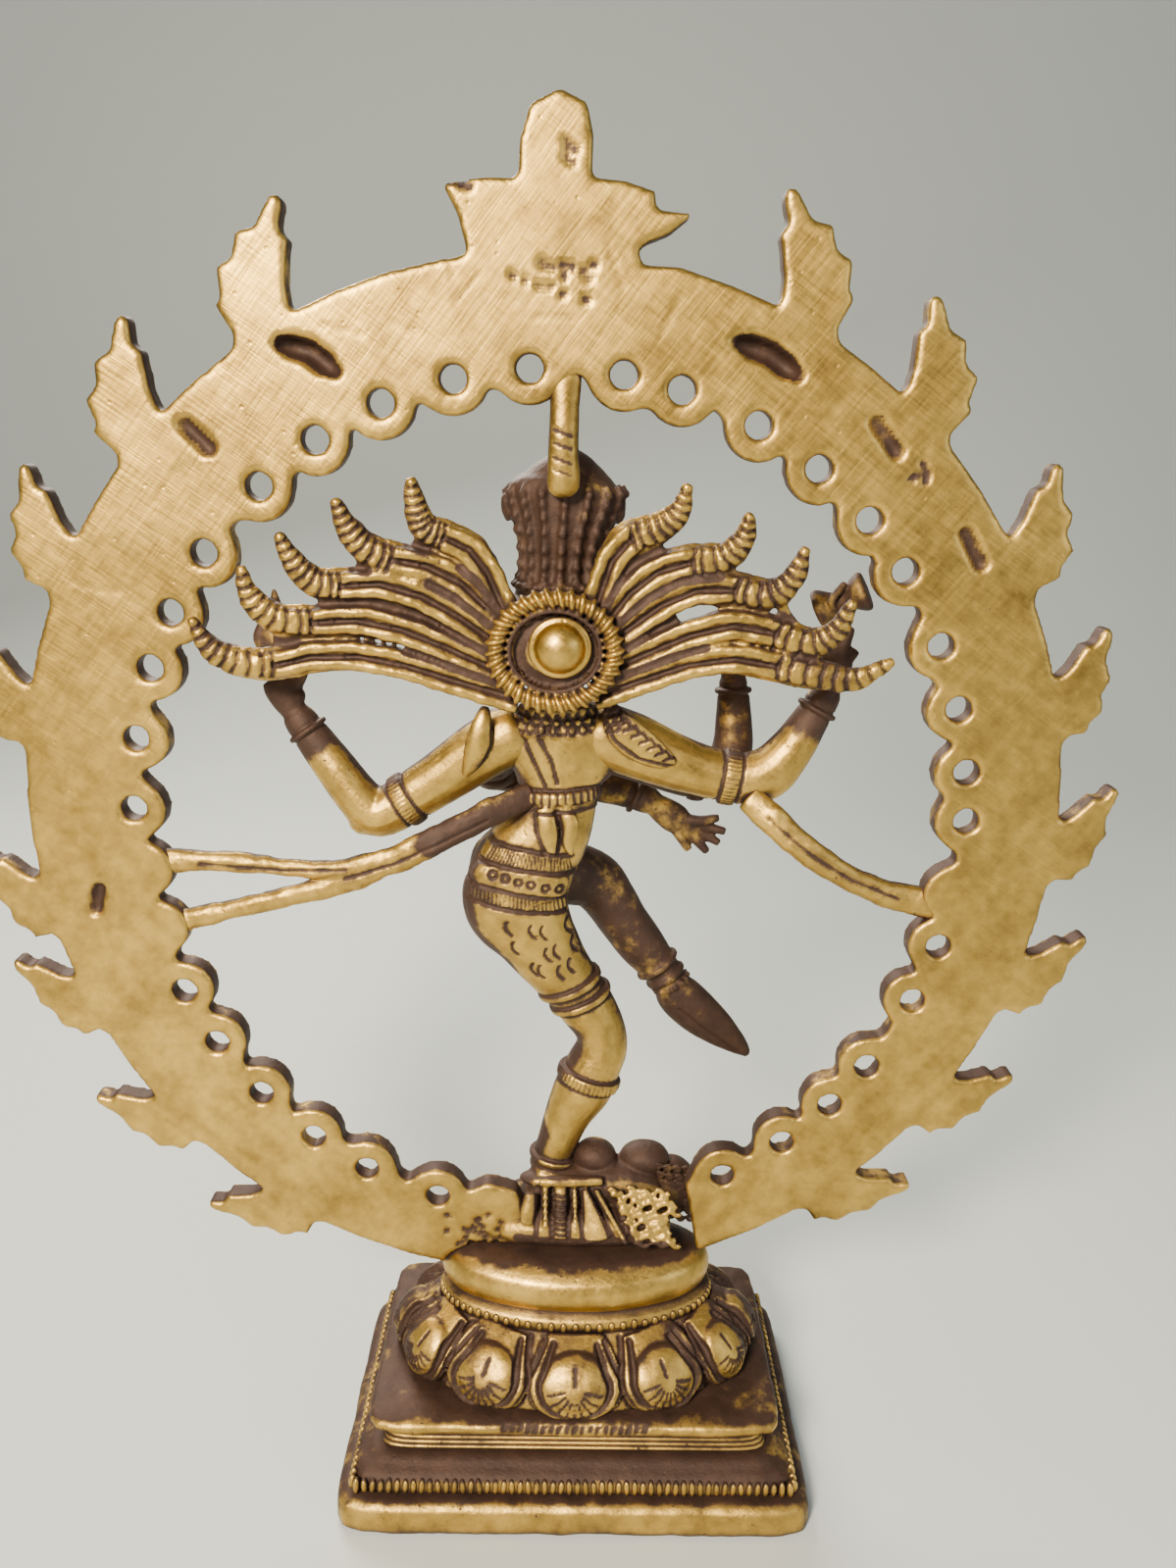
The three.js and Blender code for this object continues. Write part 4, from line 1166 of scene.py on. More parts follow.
def arm(route, armlet, bangle, palm, elbow):
    """An arm with a ribbed armlet and a bangle, at their shares of the way down, and a hand."""
    bm = bmesh.new()
    roll_limb(bm, round_ends(route), 20)
    if elbow:
        bead(bm, elbow, ELBOW)
    bands = ((armlet, 2.2, 0.4), (bangle, 0.9, 0.5))
    for share, width, proud in bands:
        (point, across, deep), along = leg_at(route, share)
        band(bm, point, along, across, deep, width, proud)
    hand(bm, *palm)
    skin = cast_wax(bm)
    for share, width, proud in bands:
        (point, across, deep), along = leg_at(route, share)
        for side in (-1, 1):
            groove_round(
                skin, point + along.normalized() * side * (width / 2 + 0.1), along, across + 2, 0.5, 0.2)
    (point, across, deep), along = leg_at(route, armlet)
    chisel(skin, ribs_across(point, along, across + 0.3, 1.6, 19), 0.3, 0.15, soot_and_shade=0.45)
    return skin


def hand(bm, wrist, palm, *tips):
    """A palm with four fingers and a thumb that reach for the tips. All are points."""
    *tips, thumb = tips
    thick = FINGER
    roll_limb(bm,
              [(wrist, 1.5, 1.3), ((wrist + palm) / 2, 2.0, 1.4), (palm, 2.2, 1.3),
               (palm + (palm - wrist) * 0.3, 1.8, 1.0)], 14)
    for i, tip in enumerate(tips):
        start = palm + (tip - palm) * 0.15
        bend = (start + tip) / 2 + (tip - palm).cross(Vector((1, 0, 0))).normalized() * 0.35
        roll_limb(bm,
                  round_ends([(start, thick, thick), (bend, thick * 0.92, thick * 0.92),
                              (tip, thick * 0.72, thick * 0.72)]), 10)
    bead(bm, (wrist + palm) / 2 + (thumb - palm) * 0.4, 1.1)
    roll_limb(
        bm, round_ends([(wrist + (palm - wrist) * 0.5, thick, thick), (thumb, thick * 0.8, thick * 0.8)]),
        10)


# Finish, armlet, bangle, elbow, the route from the shoulder, then wrist, palm, fingers and thumb, and
# where soot lies on the hand.
ARMS = {
    "rear_left": (
        CHASED, 0.39, 0.93, (10, 0.1, -5.7),
        [(-9.6, -0.1, 6, 3.8, 3.6), (-5.6, 0, 4, 3.9, 3.6), (-1.2, 0, 0.8, 3.6, 3.2),
         (3.6, 0, -2.5, 3.3, 3.0), (8.2, 0, -5, 3.2, 3.0), (10.6, -0.1, -3.2, 2.9, 2.9),
         (13.4, -0.3, 0.6, 2.7, 2.6), (16, -0.6, 4.2, 2.4, 2.2), (18.2, -0.8, 7.4, 2.0, 1.8)],
        [(0.4, 0.2, -2.7), (2.3, 0, 0.9), (0.3, -0.8, 4.9), (1.7, -1, 5.7), (3.1, -1, 5.7),
         (4.5, -0.6, 4.9), (-0.6, 0, 2.5)],
        [(-0.1, 1.6, -4.1), (2.5, 1.6, 0.3), (2.5, 1.6, 6.3)]),
    "rear_right": (
        CHASED, 0.44, 0.93, None,
        [(11.9, -0.1, 3.5, 3.8, 3.6), (7.9, -0.1, 2.1, 4.1, 3.7), (2.9, 0, 0.1, 3.7, 3.4),
         (-2.3, 0, -1.5, 3.3, 3.1), (-6.9, 0, -2.3, 3.4, 3.1), (-10.1, 0, -1.5, 3.4, 3.1),
         (-12.6, -0.1, 1.3, 2.9, 2.8), (-14.9, -0.2, 5.1, 2.4, 2.3), (-16.9, -0.4, 8.9, 1.9, 1.8)],
        [(0.5, 0.1, -3.8), (-0.3, 0, -0.1), (-1.9, -0.5, 4), (-0.7, -0.8, 4.6), (0.6, -0.8, 4.2),
         (1.7, -0.5, 3), (-2.5, -0.1, 1.2)],
        [(1.3, 1.1, -5), (-0.3, 1.1, 0), (-0.3, 1.1, 5)]),
    "front_left": (PATINA, 0.30, 0.90, None,
                   [(-2.5, 3.8, 3.6, 3.3, 3.3), (0.3, 0.4, 0.8, 3.1, 3.2), (0.7, -2.8, -2, 3.0, 3.0),
                    (-3.7, -4.4, -3.2, 2.8, 2.8), (-10.3, -4.6, -4.2, 2.6, 2.6),
                    (-16.3, -4.3, -5.2, 2.4, 2.3), (-20.7, -4.3, -7, 1.9, 1.9)],
                   [(3.6, 0, 2.7), (0, -0.1, 0.1), (-4.6, -0.5, -4.7), (-6.1, -0.2, -3.3),
                    (-6.8, 0.2, -1.5), (-5.8, 0.5, 0.5), (-1.8, 0.2, -3.9)], None),
    "front_right": (PATINA, 0.38, 0.92, None,
                    [(8.4, 1.5, 3.3, 3.3, 3.3), (2.6, -0.1, 0.7, 3.2, 3.0), (-3.4, -0.9, -1.5, 3.0, 2.8),
                     (-7.8, -1.4, -1.3, 3.0, 2.8), (-9, -1.7, 2.5, 2.7, 2.6), (-8.9, -2.1, 7.1, 2.3, 2.2),
                     (-8.7, -2.4, 11.1, 1.8, 1.8)],
                    [(-0.1, 0.1, -4.5), (0, -0.1, -0.9), (2, -0.6, 3.7), (0.7, -0.7, 4.5),
                     (-0.6, -0.7, 4.4), (-1.8, -0.6, 3.5), (2.6, -0.2, 0.7)], None),
}
for name, (finish, armlet, bangle, elbow, route, palm, dark) in ARMS.items():
    upper_arm, palm_node = name + "_upper_arm", name + "_hand"
    bent = near(upper_arm, *elbow) if elbow else None
    skin = arm(stations(upper_arm, *route), armlet, bangle, points(palm_node, *palm), bent)
    if dark:
        chisel(skin, [points(palm_node, *dark)], 11, 0, soot_and_shade=1.0)
    finish_piece(name + "_arm", skin, finish, upper_arm, name + "_forearm", palm_node)

# %% [markdown]
# ## What the rear hands hold
#
# The left hand holds a flame, and the right one a small drum shaped like an hourglass. Both were
# left rough. Three tongues of wax that lean apart and touch at the foot make the flame.

# %% Flame and drum
bm = bmesh.new()
base = near("hand_fire", 0, 0, -4.1)
for lean, tall, wide in ((-2.2, 6.0, 1.1), (0.1, 8.2, 1.5), (2.2, 6.4, 1.1)):
    tongue = ((0.3, 0, 0, 0.9, 0.9), (0.9, 0.1, 0.3, wide, 1.0), (0.7, -0.1, 0.65, wide * 0.7, 0.7),
              (1.1, 0, 1, 0.25, 0.25))
    roll_limb(
        bm, [(base + Vector((lean * x, y, tall * z)), half, deep) for x, y, z, half, deep in tongue], 12)
fire = cast_wax(bm, 0.22)
finish_piece("hand_flame", fire, PATINA, "hand_fire")

bm = bmesh.new()
drum_start, drum_end = near("hand_drum", -2.8, 0.9, 1.4), near("hand_drum", 2.8, -0.9, -1.4)
along = drum_end - drum_start
hourglass = ((0, 2.3, 2.2), (0.12, 2.4, 2.3), (0.5, 1.1, 1.1), (0.88, 2.4, 2.3), (1, 2.3, 2.2))
roll_limb(bm, [(drum_start + along * share, half, deep) for share, half, deep in hourglass], 18)
thread(bm, points("hand_drum", (0, -0.1, -2.2), (1.6, 1.6, 0), (0, 1.1, 2.2)), 0.45)
drum = cast_wax(bm, 0.22, wobble=0.14)
finish_piece("hand_drum_cast", drum, PATINA, "hand_drum")

# %% [markdown]
# ## Sash
#
# The ends of a sash fly out to both sides and are brazed to the ring, so they also brace the
# figure. On the left it forks in two.

# %% Sash
bm = bmesh.new()
roll(bm, "sash_left", 14, (-21.9, -1.5, 4.9, 1.6, 1.0), (-18.5, -0.3, 3.7, 1.9, 1.1),
     (-14.3, 0.7, 1.8, 1.9, 1.1), (-9.5, 1, -0.7, 1.9, 1.1), (-4.5, 1.1, -3.2, 1.9, 1.1),
     (0.5, 1.1, -4.5, 1.6, 1.1), (6.5, 1.1, -4.5, 1.2, 1.1), (13.5, 1.1, -3.9, 1.3, 1.1),
     (19.5, 1.1, -3.7, 1.4, 1.2), (25.7, 1.1, -3.7, 1.9, 1.2))
roll(bm, "sash_left_tail", 14, (-16.4, 0, 6.6, 1.4, 1.0), (-10.8, 0, 3.6, 1.7, 1.1),
     (-5.4, 0, 1.6, 1.4, 1.1), (0.6, 0, 0, 1.3, 1.1), (6.6, 0, -1.4, 1.3, 1.1), (14, 0, -3.6, 1.8, 1.2))
sash = cast_wax(bm, wobble=0.3, wobble_size=3)
chisel(sash,
       [points("sash_left", (-16.5, 2.1, 2.3), (-10.5, 2.1, -0.7), (-4.5, 2.1, -3.5), (1.5, 2.1, -5.5)),
        points("sash_left", (1.5, 2.1, -4.3), (9.5, 2.1, -4.5), (19.5, 2.1, -3.7))], 0.55, 0.3, soot_and_shade=0.5)
chisel(
    sash, [points("sash_left", (-21.5, 2.1, 4.7), (-16.5, 2.1, 2.5), (-9.5, 2.1, -0.7))], 5.5, 0, soot_and_shade=0.75)
finish_piece("sash_left_fork", sash, WORN, "sash_left", "sash_left_tail")

bm = bmesh.new()
roll(bm, "sash_right", 14, (10.2, -1.4, 6.6, 1.9, 1.2), (7.6, 0, 4.4, 1.9, 1.2), (4.6, 0.8, 1.8, 1.8, 1.2),
     (1, 1, -0.9, 1.8, 1.2), (-4, 0.8, -3.8, 1.7, 1.2), (-9, 0.8, -5.6, 1.9, 1.3),
     (-15.4, 0.8, -6.8, 2.3, 1.3))
sash = cast_wax(bm, wobble=0.3, wobble_size=3)
chisel(sash, [points("sash_right", (8, 1.8, 4.6), (2, 1.8, -0.2), (-3, 1.8, -3.2), (-9, 1.8, -5.6))], 0.55,
       0.3, soot_and_shade=0.5)
finish_piece("sash_right_end", sash, WORN, "sash_right")

# %% [markdown]
# ## Hair
#
# The dancer spins, so the hair flies out in five locks on each side. A lock is two ridges of wax
# on a thin web, and it ends in a hook with notches across it. Metal filled the gaps between the
# locks near the head, and left odd holes further out.

# %% Locks
LOCK_WIDE = 2.1     # mm, half the width of a lock


def lock(bm, line):
    """Two ridges on a flat web along a line, with a fatter hooked tip."""
    wide = LOCK_WIDE
    last = len(line) - 1
    shares = [min(1, 0.55 + i / last) for i in range(last - 2)] + [0.9, 0.62, 0.2]
    roll_limb(bm, [(p, wide * share, 0.85) for p, share in zip(line, shares)], 14)
    for side in (-1, 1):
        ridge = []
        for i, p in enumerate(line[:-1]):
            along = (line[min(i + 1, last)] - line[max(i - 1, 0)]).normalized()
            aside = along.cross(Vector((0, 1, 0)))
            gap = wide * 0.52 * (1 - 0.9 * (i / last) ** 3)
            ridge.append((p + aside * side * gap + Vector((0, 0.8, 0)), 0.72, 0.66))
        roll_limb(bm, ridge, 10)
    back = Vector((0, 0.55, 0))
    hook = ((-4, 0.6, 0.8), (-3, 0.8, 1.1), (-2, 0.66, 1.0), (-1, 0.3, 0.6))
    roll_limb(bm, round_ends([(line[i] + back, wide * share, deep) for i, share, deep in hook]), 14)


def between(above, below, share):
    """A point between two locks some share of the way out, and half their distance there."""
    spots = []
    for line in (above, below):
        i = share * (len(line) - 1)
        spots.append(line[int(i)].lerp(line[min(int(i) + 1, len(line) - 1)], i % 1))
    return (spots[0] + spots[1]) / 2 - Vector((0, 0.2, 0)), max((spots[0] - spots[1]).length / 2, 0.5)


def fan(side, rows, webs):
    """Five locks, each with its points. webs has, gap by gap, the spans that metal fills, as shares
    of the way out. The rest of a gap is open."""
    nodes = [f"hair_lock_{side}_{i + 1}" for i in range(len(rows))]
    lines = [points(node, *row) for node, row in zip(nodes, rows)]
    bm = bmesh.new()
    for line in lines:
        lock(bm, line)
    webs_between = []
    for above, below, spans in zip(lines, lines[1:], webs):
        for start, end in spans:
            middle = [between(above, below, share) for share in np.linspace(start, end, 5)]
            roll_limb(bm, [(p, half, 0.55) for p, half in middle], 12)
            webs_between.append([p for p, _ in middle])
    skin = cast_wax(bm, wobble=0.24, wobble_size=1.8)
    notches = []
    for line in lines:
        tip = [row[0] for row in smooth_route([(p, 1, 1) for p in line[-4:]], 3)]
        for before, after in zip(tip, tip[1:]):
            along = (after - before).normalized()
            aside = along.cross(Vector((0, 1, 0))) * LOCK_WIDE * 0.7
            notches.append([before - aside + along * 0.3, before, before + aside + along * 0.3])
    chisel(skin, webs_between, 1.2, 0.15, soot_and_shade=1.0)
    chisel(skin, [line[:-3] for line in lines], 0.6, 0.35, soot_and_shade=0.9)
    chisel(skin, notches, 0.5, 0.45, soot_and_shade=0.4)
    chisel(skin, webs_between + [line[:-2] for line in lines], 0.7, 0.3, tool=FRONT, soot_and_shade=0.7)
    finish_piece("hair_fan_" + side, skin, CHASED, *nodes)


fan("left",
    (((-7.7, -0.7, -9.6), (-5.7, -0.6, -6), (-4.4, -0.5, -3), (-2.4, -0.3, -0.4), (0.4, -0.1, 1),
      (2.6, 0, 2), (3.6, 0, 4.4), (4.1, 0, 7.2)),
     ((-12.4, -0.7, -8.4), (-9.2, -0.6, -4.9), (-5.9, -0.5, -1.8), (-2, -0.3, 0.1), (1.9, -0.1, 0.8),
      (5.1, 0, 2.1), (7, 0, 4.6), (8.1, 0, 7.2)),
     ((-16, -0.7, -7.3), (-12.8, -0.6, -5.2), (-9.3, -0.5, -2.7), (-5, -0.3, -0.3), (-0.1, -0.1, 1.1),
      (4.2, 0, 0.8), (7.5, 0, 1.2), (9.7, 0, 3.6), (11, 0, 6.3)),
     ((-18.8, -0.7, -6.6), (-15.2, -0.6, -5), (-10, -0.5, -2.7), (-5.1, -0.3, -0.8), (-0.1, -0.1, 0.2),
      (4.9, 0, -0.1), (9.2, 0, 0.2), (11.9, 0, 2.6), (12.9, 0, 5.8)),
     ((-21.1, -0.7, -4.2), (-13.2, -0.6, -2), (-7.7, -0.5, -0.3), (-2.2, -0.3, 0.7), (3.3, -0.1, 0.6),
      (7.5, 0, -0.4), (11.8, 0, -0.2), (15.1, 0, 1.7), (16.7, 0, 4.6)),),
    (((0, 0.36), (0.54, 0.62)), ((0, 0.38), (0.6, 0.66)), ((0, 0.66),), ((0, 0.3), (0.62, 0.7))))
fan("right",
    (((7.6, -0.7, -9.2), (6.3, -0.6, -5.5), (5, -0.5, -1.4), (2.8, -0.2, 1.2), (-0.3, -0.1, 2.4),
      (-2.5, 0, 4.3), (-3.3, 0, 7)),
     ((11, -0.7, -8.2), (9.2, -0.6, -5.5), (7, -0.5, -2.6), (3.9, -0.3, -0.1), (0, -0.1, 1.1),
      (-3.6, 0, 1.6), (-5.8, 0, 3.8), (-6.3, 0, 6.4)),
     ((14.1, -0.7, -7.1), (11, -0.6, -4.1), (6.7, -0.5, -0.9), (2.7, -0.3, 0.9), (-1.7, -0.1, 1.1),
      (-5.8, 0, 0.5), (-8.4, 0, 2.6), (-9.5, 0, 5.7)),
     ((16.7, -0.7, -6), (11.4, -0.6, -3.5), (5.9, -0.4, -1), (0.9, -0.2, 0.3), (-4.1, -0.1, -0.5),
      (-8.5, 0, -1.7), (-11.3, 0, 0), (-12.8, 0, 3.2)),
     ((18.9, -0.7, -3.8), (13.4, -0.6, -1.7), (7.9, -0.4, 0.3), (2.4, -0.2, 1.2), (-2.6, -0.1, 0.4),
      (-7.6, 0, -0.6), (-12, 0, -1), (-15.9, 0, 1)),),
    (((0, 0.55),), ((0, 0.6),), ((0, 0.3), (0.66, 0.74)), ((0, 0.34), (0.64, 0.7))))

# %% [markdown]
# ## Wheel of hair
#
# Behind the head is a wheel: a rope rim, a thin ring inside it, and a polished boss in the middle.
# A peg holds it to the head. Flat beads that lean the same way look like the strands of a rope.

# %% Wheel
HUB = near("wheel_rim", 0, 0, 0)
bm = bmesh.new()
thread(bm, oval(HUB, 6.9, 6.2, 37), 0.85, sides=12, per=2)
random.seed(3)
STRANDS = 34
for i in range(STRANDS):
    a = math.tau * i / STRANDS
    turned = Matrix.Rotation(-a, 4, "Y") @ Matrix.Rotation(0.35, 4, "Y")
    spot = HUB + Vector((6.95 * math.cos(a), 0.1, 6.25 * math.sin(a)))
    bead(bm, spot, 1, (1.4, 1.35, 0.46 * random.uniform(0.9, 1.1)), turned, 2)
thread(bm, oval(HUB + Vector((0, 0.2, 0)), 5.2, 4.6, 31), 0.42, per=2)
bead(bm, HUB + Vector((0, -0.7, 0)), 1, (5.8, 0.8, 5.2))
rim = cast_wax(bm, 0.2, smoothing=0, wobble=0.08)
chisel(rim, [oval(HUB, 4.5, 3.9, 31)], 2.4, 0.3, soot_and_shade=1.0)
finish_piece("wheel_rope", rim, CHASED, "wheel_rim")

bm = bmesh.new()
BOSS = near("wheel_boss", -0.1, -0.7, 0.2)
thread(bm, oval(BOSS, 3.35, 3.25, 25), 0.4, per=2)
bead(bm, BOSS, 1, (3.0, 2.3, 2.95), fine=4)
bead(bm, near("wheel_peg", 0, 1.2, 0.2), 1, (2.4, 2.6, 2.4))
boss = cast_wax(bm, 0.2, smoothing=2, wobble=0.04)
finish_piece("wheel_boss_dome", boss, POLISHED, "wheel_boss", "wheel_peg")

# %% [markdown]
# ## Head and head-dress
#
# The head is a ball with a face of the plainest, calmest kind: brow, closed lids, a straight nose
# and a small mouth. Nobody sees it from behind, so it is built from few beads and threads.

# %% Head
HEAD = near("head", 0, 0, -0.3)
bm = bmesh.new()
bead(bm, HEAD, 1, (4.7, 5.0, 5.9), fine=4)
bead(bm, HEAD + Vector((0, -1.5, -3.4)), 1, (3.2, 3.0, 2.8))
bead(bm, HEAD + Vector((0, -3.6, -5.1)), 1, (1.2, 0.9, 0.9))
nose = ((4.7, 1.2, 0.45, 0.4), (5.2, 0.1, 0.55, 0.6), (5.5, -1.0, 0.85, 0.7), (5.0, -1.5, 0.6, 0.4))
roll_limb(bm, [(HEAD + Vector((0, -out, up)), half, deep) for out, up, half, deep in nose], 12)
for side in (-1, 1):
    bead(bm, HEAD + Vector((side * 1.75, -4.25, 0.7)), 1, (1.1, 0.65, 0.62))
    for line, radius in ((((0.7, 4.9, 0.75), (1.7, 4.95, 0.5), (2.75, 4.35, 0.8)), 0.2),
                         (((0.55, 4.9, 1.75), (1.7, 4.75, 2.2), (3.0, 4.05, 1.8)), 0.26)):
        thread(bm, [HEAD + Vector((side * x, -y, z)) for x, y, z in line], radius)
    bead(bm, HEAD + Vector((side * 0.72, -5.05, -1.25)), 0.42)
    bead(bm, HEAD + Vector((side * 2.3, -3.6, -1.4)), 1, (1.4, 1.1, 1.5))
    ear = ((1.8, 0.4), (0.9, 0.75), (-0.6, 0.6), (-2.0, 0.5), (-3.6, 0.6))
    roll_limb(bm, [(HEAD + Vector((side * 4.55, 0.2, z)), half, 0.9) for z, half in ear], 12)
for up, wide, proud in ((-2.75, 1.15, 0.26), (-3.3, 0.95, 0.32)):
    lip = [
        Vector((x * wide, -4.95 - 0.35 * (1 - abs(x)), up + abs(x) * 0.2)) for x in (-1, -0.5, 0, 0.5, 1)]
    thread(bm, [HEAD + spot for spot in lip], proud)
bead(bm, HEAD + Vector((0, -4.9, 3.0)), 0.5)
hairline = [
    (4.55 * math.sin(a), -4.55 * math.cos(a), 3.3 - 0.5 * math.cos(a)) for a in np.linspace(-1.5, 1.5, 15)]
thread(bm, [HEAD + Vector(spot) for spot in hairline], 0.7)
brow_band = [(4.5 * math.cos(a), -0.4 + 4.5 * math.sin(a), 3.9) for a in np.linspace(0, math.tau, 25)]
thread(bm, [HEAD + Vector(spot) for spot in brow_band], 0.85)
head_mesh = cast_wax(bm, 0.2, wobble=0.04)
mouth = [HEAD + Vector((x, -5, -3.02 + abs(x) * 0.16)) for x in (-1.1, 0, 1.1)]
chisel(head_mesh, [mouth], 0.3, 0.2, tool=FRONT)
finish_piece("head_cast", head_mesh, PATINA, "head")

# %% [markdown]
# The head-dress is a tall crown of bundled hair, tied at the bottom and flared at the top. The
# bundles are columns of wax with beads on them, laid along the sides of one roll, so they follow
# its flare.

# %% Head-dress
bm = bmesh.new()
crown_route = stations(
    "headdress", (0.9, 0.3, -9.9, 5.2, 4.9), (0.8, 0.3, -8.1, 5.5, 5.1), (0.7, 0.2, -6.1, 5.0, 4.7),
    (0.6, 0.2, -3.5, 4.8, 4.4), (0.4, 0.2, -0.1, 5.4, 4.8), (0.2, 0.1, 2.7, 6.4, 5.1),
    (0.1, 0.1, 4.7, 6.9, 5.0), (0, 0, 6.1, 5.6, 4.2), (-0.1, 0, 8.1, 3.2, 2.8), (-0.1, 0, 9.4, 1.1, 1.0))
roll_limb(bm, crown_route, 26)
rows = smooth_route(crown_route)
COLUMNS = 16
for column in range(COLUMNS):
    c, s = math.cos(math.tau * column / COLUMNS), math.sin(math.tau * column / COLUMNS)
    thread(bm, [point + Vector((c * across, s * deep, 0)) for point, across, deep in rows[10:34:2]], 0.5,
           per=2)
    for point, across, deep in rows[11:32:3]:
        bead(bm, point + Vector((c * (across + 0.25), s * (deep + 0.25), 0)), 0.62, fine=1)
for spot, width, proud in ((4, 1.1, 0.7), (9, 1.0, 0.65)):
    point, across, deep = rows[spot]
    band(bm, point, Vector((0, 0, 1)), across, deep, width, proud)
    beads_round(bm, point, Vector((0, 0, 1)), across + 0.6, deep + 0.6, 24, 0.5)
for start, tip in (points("headdress", (5.9, 1, 1.7), (7.5, 0.8, 4.1)),
                   points("headdress", (-5.1, 1, 1.7), (-6.8, 0.8, 3.9))):
    roll_limb(bm, [(start, 1.6, 1.2), ((start + tip) / 2, 1.4, 1.0), (tip, 0.4, 0.4)], 12)
roll(bm, "headdress", 14, (0.3, -2.8, -3.6, 1.4, 0.8), (0.3, -3.4, -0.6, 2.4, 1.0),
     (0.3, -4, 1.9, 1.9, 1.0), (0.3, -3.7, 4.9, 0.4, 0.4))
crown = cast_wax(bm, wobble=0.14, wobble_size=3)
finish_piece("headdress_cast", crown, PATINA, "headdress")

# %% [markdown]
# A long ring hangs from each ear: a thread of wax closed into a hoop, with a bead at its foot.

# %% Ear-rings
for name in ("earring_left", "earring_right"):
    middle = near(name, 0, 0, 0)
    bm = bmesh.new()
    hoop = [middle + Vector((0.15 * math.sin(a), 1.05 * math.cos(a), 1.9 * math.sin(a)))
            for a in np.linspace(0, math.tau, 17)]
    thread(bm, hoop, 0.55, per=3)
    bead(bm, middle - Vector((0, 0, 1.7)), 0.8)
    hoop_mesh = cast_wax(bm, 0.2, wobble=0.05)
    finish_piece(name + "_hoop", hoop_mesh, PATINA, name)

# %% [markdown]
# ## The dwarf underfoot
#
# The dwarf lies face down along the dais, with its head at the dancer's right. From behind one
# sees its dressed back: strings of beads, a ribbed strap and a flat fold of cloth, which hang down
# a sloping wall, and a carpet of curls beside them. Everything on the wall is placed by how far
# aside and how far down it lies.

# %% Dwarf body and legs
bm = bmesh.new()
roll_rounded(bm, "dwarf_body", 20, (7.8, 0, -0.6, 2.6, 3.4), (3.6, 0.2, 1.6, 3.0, 3.6),
             (-1.8, 0.2, 2.2, 3.2, 3.7), (-6, 0.1, 2.2, 3.0, 3.6), (-8.8, -0.2, 1.6, 2.4, 3.0))
roll_rounded(bm, "dwarf_body", 20, (8.6, 0.4, -2.6, 2.0, 2.8), (3.6, 0.4, -2, 2.6, 3.4),
             (-1.8, 0.3, -1.8, 2.8, 3.5), (-6.4, 0.1, -1.6, 2.7, 3.4), (-9.2, -0.2, -1.4, 2.2, 3.0))
roll_rounded(
    bm, "dwarf_body", 20, (7.2, 0.2, -0.8, 2.4, 3.4), (-0.4, 0.4, 0.1, 3.0, 3.55), (-8.2, 0, 0.2, 2.6, 3.3))
bead(bm, near("dwarf_body", -0.8, -0.8, 5.6), 1, (3.1, 2.8, 2.5), fine=3)
bead(bm, near("dwarf_body", -7.8, -1, 5.4), 1, (3.6, 2.8, 2.3), fine=3)
roll_rounded(
    bm, "dwarf_legs", 16, (-3.8, -0.8, 0.1, 2.2, 2.3), (0, -0.2, 0, 2.1, 2.2), (3.6, 1, -0.2, 1.7, 1.9))
roll_rounded(
    bm, "dwarf_legs", 16, (-2.4, 3.2, -0.1, 2.3, 2.4), (1.8, 4.2, -0.3, 1.9, 2.1), (4.4, 5, -0.5, 1.4, 1.5))
roll_rounded(bm, "dwarf_body", 20, (11.2, 2.8, -2.8, 2.2, 3.0), (5.6, 3.2, -2.2, 2.9, 3.7),
             (-2.4, 3.2, -2.2, 2.9, 3.7), (-10, 2.6, -2.4, 2.4, 3.2))
WALL = near("dwarf_body", 1.6, 4.1, 4)


def on_wall(x, down):
    """A place on the sloping wall of the back: aside, and down from its top."""
    return WALL + Vector((x, 0.1 + 0.46 * down, -down))


def string_of_beads(bm, x, x_end, length, count, radius):
    for share in np.linspace(0, 1, count):
        bead(bm, on_wall(x + (x_end - x) * share, 0.5 + length * share), radius, (1, 0.9, 0.85))


string_of_beads(bm, 4.4, 4.3, 4.2, 6, 0.5)
string_of_beads(bm, 0.4, 0.1, 5.0, 9, 0.42)
string_of_beads(bm, -2.6, -6.6, 6.0, 13, 0.46)
# The ribbed strap, the fold of cloth, and a short strap at the far side.
for sides, rows in (
    (10, ((2.3, 0.3, 0.9, 0.5), (2.25, 3, 0.95, 0.6), (2.2, 6.2, 0.9, 0.6))),
    (12, ((-0.9, 0.3, 0.5, 0.4), (-1.7, 2.4, 1.0, 0.5), (-2.4, 4.6, 1.6, 0.5), (-3.0, 6.4, 2.1, 0.5))),
    (12, ((6.4, 0.8, 0.8, 0.5), (6.6, 2.6, 1.1, 0.6), (7.0, 4.6, 0.9, 0.4)))):
    roll_limb(bm, [(on_wall(x, down), half, deep) for x, down, half, deep in rows], sides)
roll(bm, "dwarf_body", 10, (7.8, 3.8, 4.5, 0.7, 0.7), (3.2, 4.1, 4.8, 0.8, 0.9), (-1.8, 3.8, 4.8, 0.7, 0.7))
random.seed(6)
for row in range(9):
    for column in range(4):
        aside, down = random.uniform(-0.35, 0.35), random.uniform(-0.18, 0.18)
        start = on_wall(aside - 4.4 - 0.42 * row - 2.15 * column, down + 0.2 + 0.8 * row + 0.12 * column)
        if start.x > WALL.x - 12.4:
            lift = random.uniform(0.3, 0.45)
            curl = [Vector((-2.0 * t, 0.15, lift * math.sin(math.tau * t))) for t in np.linspace(0, 1, 7)]
            thread(bm, [start + spot for spot in curl], 0.36, per=2)
dwarf = cast_wax(bm, 0.22, wobble=0.12, wobble_size=3)
column_gaps = ((5.4, 5.6), (3.5, 3.4), (1.2, 1.1), (-0.4, -0.8), (-1.7, -5.2), (-3.4, -7.8))
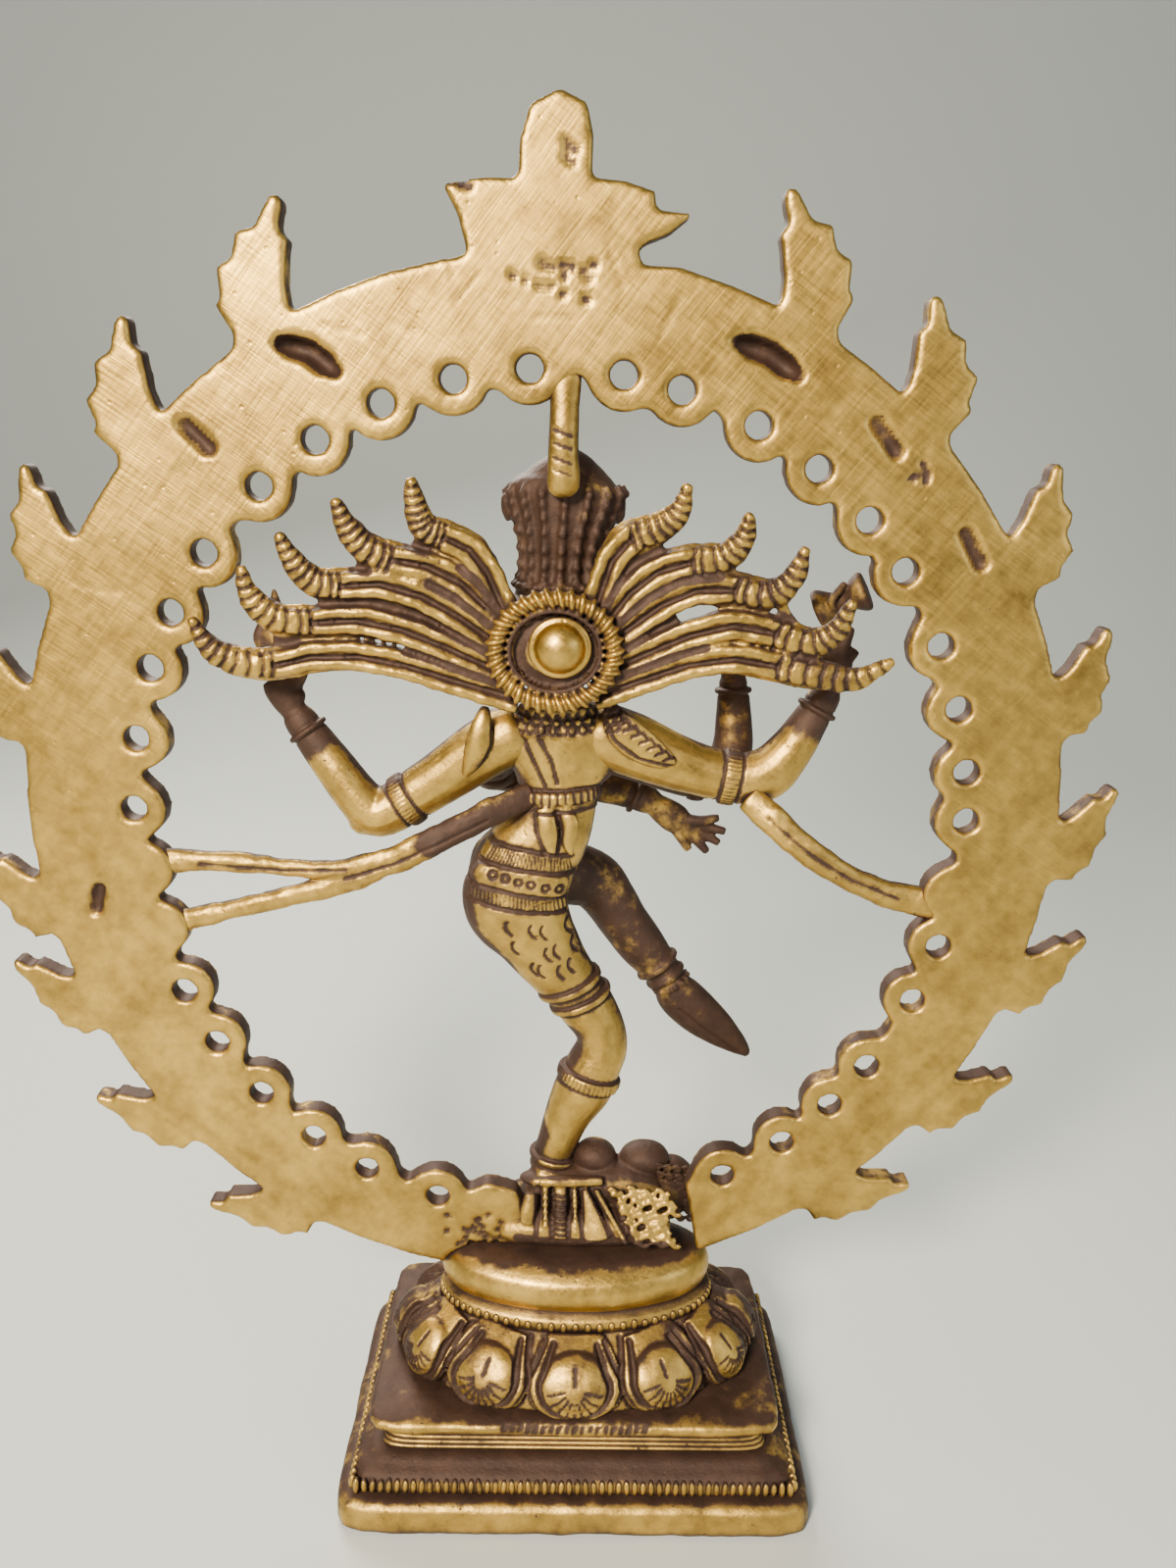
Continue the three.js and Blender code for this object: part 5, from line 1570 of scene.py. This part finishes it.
chisel(dwarf, [[on_wall(x, 0), on_wall(x_end, 6.8)] for x, x_end in column_gaps], 0.7, 0.2, soot_and_shade=1.0)
chisel(dwarf, [[on_wall(3.2, 0.9 + 0.66 * i), on_wall(1.4, 1.0 + 0.66 * i)] for i in range(8)], 0.34, 0.35)
chisel(dwarf, [[on_wall(8, 7), on_wall(-12, 7)]], 2.2, 0, soot_and_shade=0.9)
top_shade = points("dwarf_body", (3.6, 2.6, 6.6), (-1.4, 2.6, 7.6), (-7.4, 2.6, 7.6), (-11.4, 2.6, 6.2))
chisel(dwarf, [top_shade], 6.5, 0, tool=(0, 0.6, 0.8), soot_and_shade=0.85)
finish_piece("dwarf_back", dwarf, WORN, "dwarf_body", "dwarf_legs")

# %% [markdown]
# The dwarf's head is a ball under rows of tight curls. A curl is a thread of wax rolled up like a
# snail, and the rows lean with the head.

# %% Dwarf head and curls
bm = bmesh.new()
DWARF_HEAD = near("dwarf_head", 0.4, 0, -0.8)
bead(bm, DWARF_HEAD, 1, (3.9, 3.6, 4.4), fine=4)
random.seed(8)
for row in range(7):
    for column in range(5):
        back = 2.9 + random.uniform(-0.1, 0.1) - abs(column - 2) * 0.25
        up = max(5.2 - row * 1.35 - column * 0.25, -4.4)
        start = DWARF_HEAD + Vector((3.4 - column * 1.35 - row * 0.35, back, up))
        snail = [Vector((0.62 * math.cos(a) * (1 - a / 12), 0.28, 0.5 * math.sin(a) * (1 - a / 12)))
                 for a in np.linspace(0.5, 6.2, 8)]
        thread(bm, [start + spot for spot in snail], 0.27, per=2)
for side in (-1, 1):
    bead(bm, DWARF_HEAD + Vector((-3.5, side * 1.3 - 0.4, 1.0)), 0.62)
snub = ((-3.6, 0.8, 0.4), (-4.3, -0.2, 0.6), (-3.8, -0.8, 0.4))
roll_limb(bm, [(DWARF_HEAD + Vector((x, -0.4, up)), half, half) for x, up, half in snub], 10)
thread(bm, [DWARF_HEAD + Vector((-3.7, y, -1.9 + 0.1 * abs(y))) for y in (-1.5, -0.4, 0.7)], 0.3)
dwarf_head = cast_wax(bm, 0.2, wobble=0.08)
finish_piece("dwarf_head_curls", dwarf_head, PATINA, "dwarf_head")

# %% [markdown]
# One small arm lies along the dais, with four fingers pressed side by side.

# %% Dwarf arm
bm = bmesh.new()
roll_rounded(bm, "dwarf_arm", 16, (-3.4, 0.7, 0.6, 1.7, 1.7), (-0.4, -0.1, -0.1, 1.6, 1.6),
             (2.6, -0.4, -0.6, 1.4, 1.4))
for i in range(4):
    roll_rounded(
        bm, "dwarf_arm", 8, (2.4, i * 0.62 - 1.3, -0.6, 0.42, 0.42), (4.1, i * 0.7 - 1.5, -1.3, 0.36, 0.36))
dwarf_arm = cast_wax(bm, 0.2, wobble=0.08)
finish_piece("dwarf_arm_cast", dwarf_arm, PATINA, "dwarf_arm")

# %% [markdown]
#
# The triangles of all the pieces are added up.

# %% Triangles
print("pieces:", triangle_total, "triangles in all")
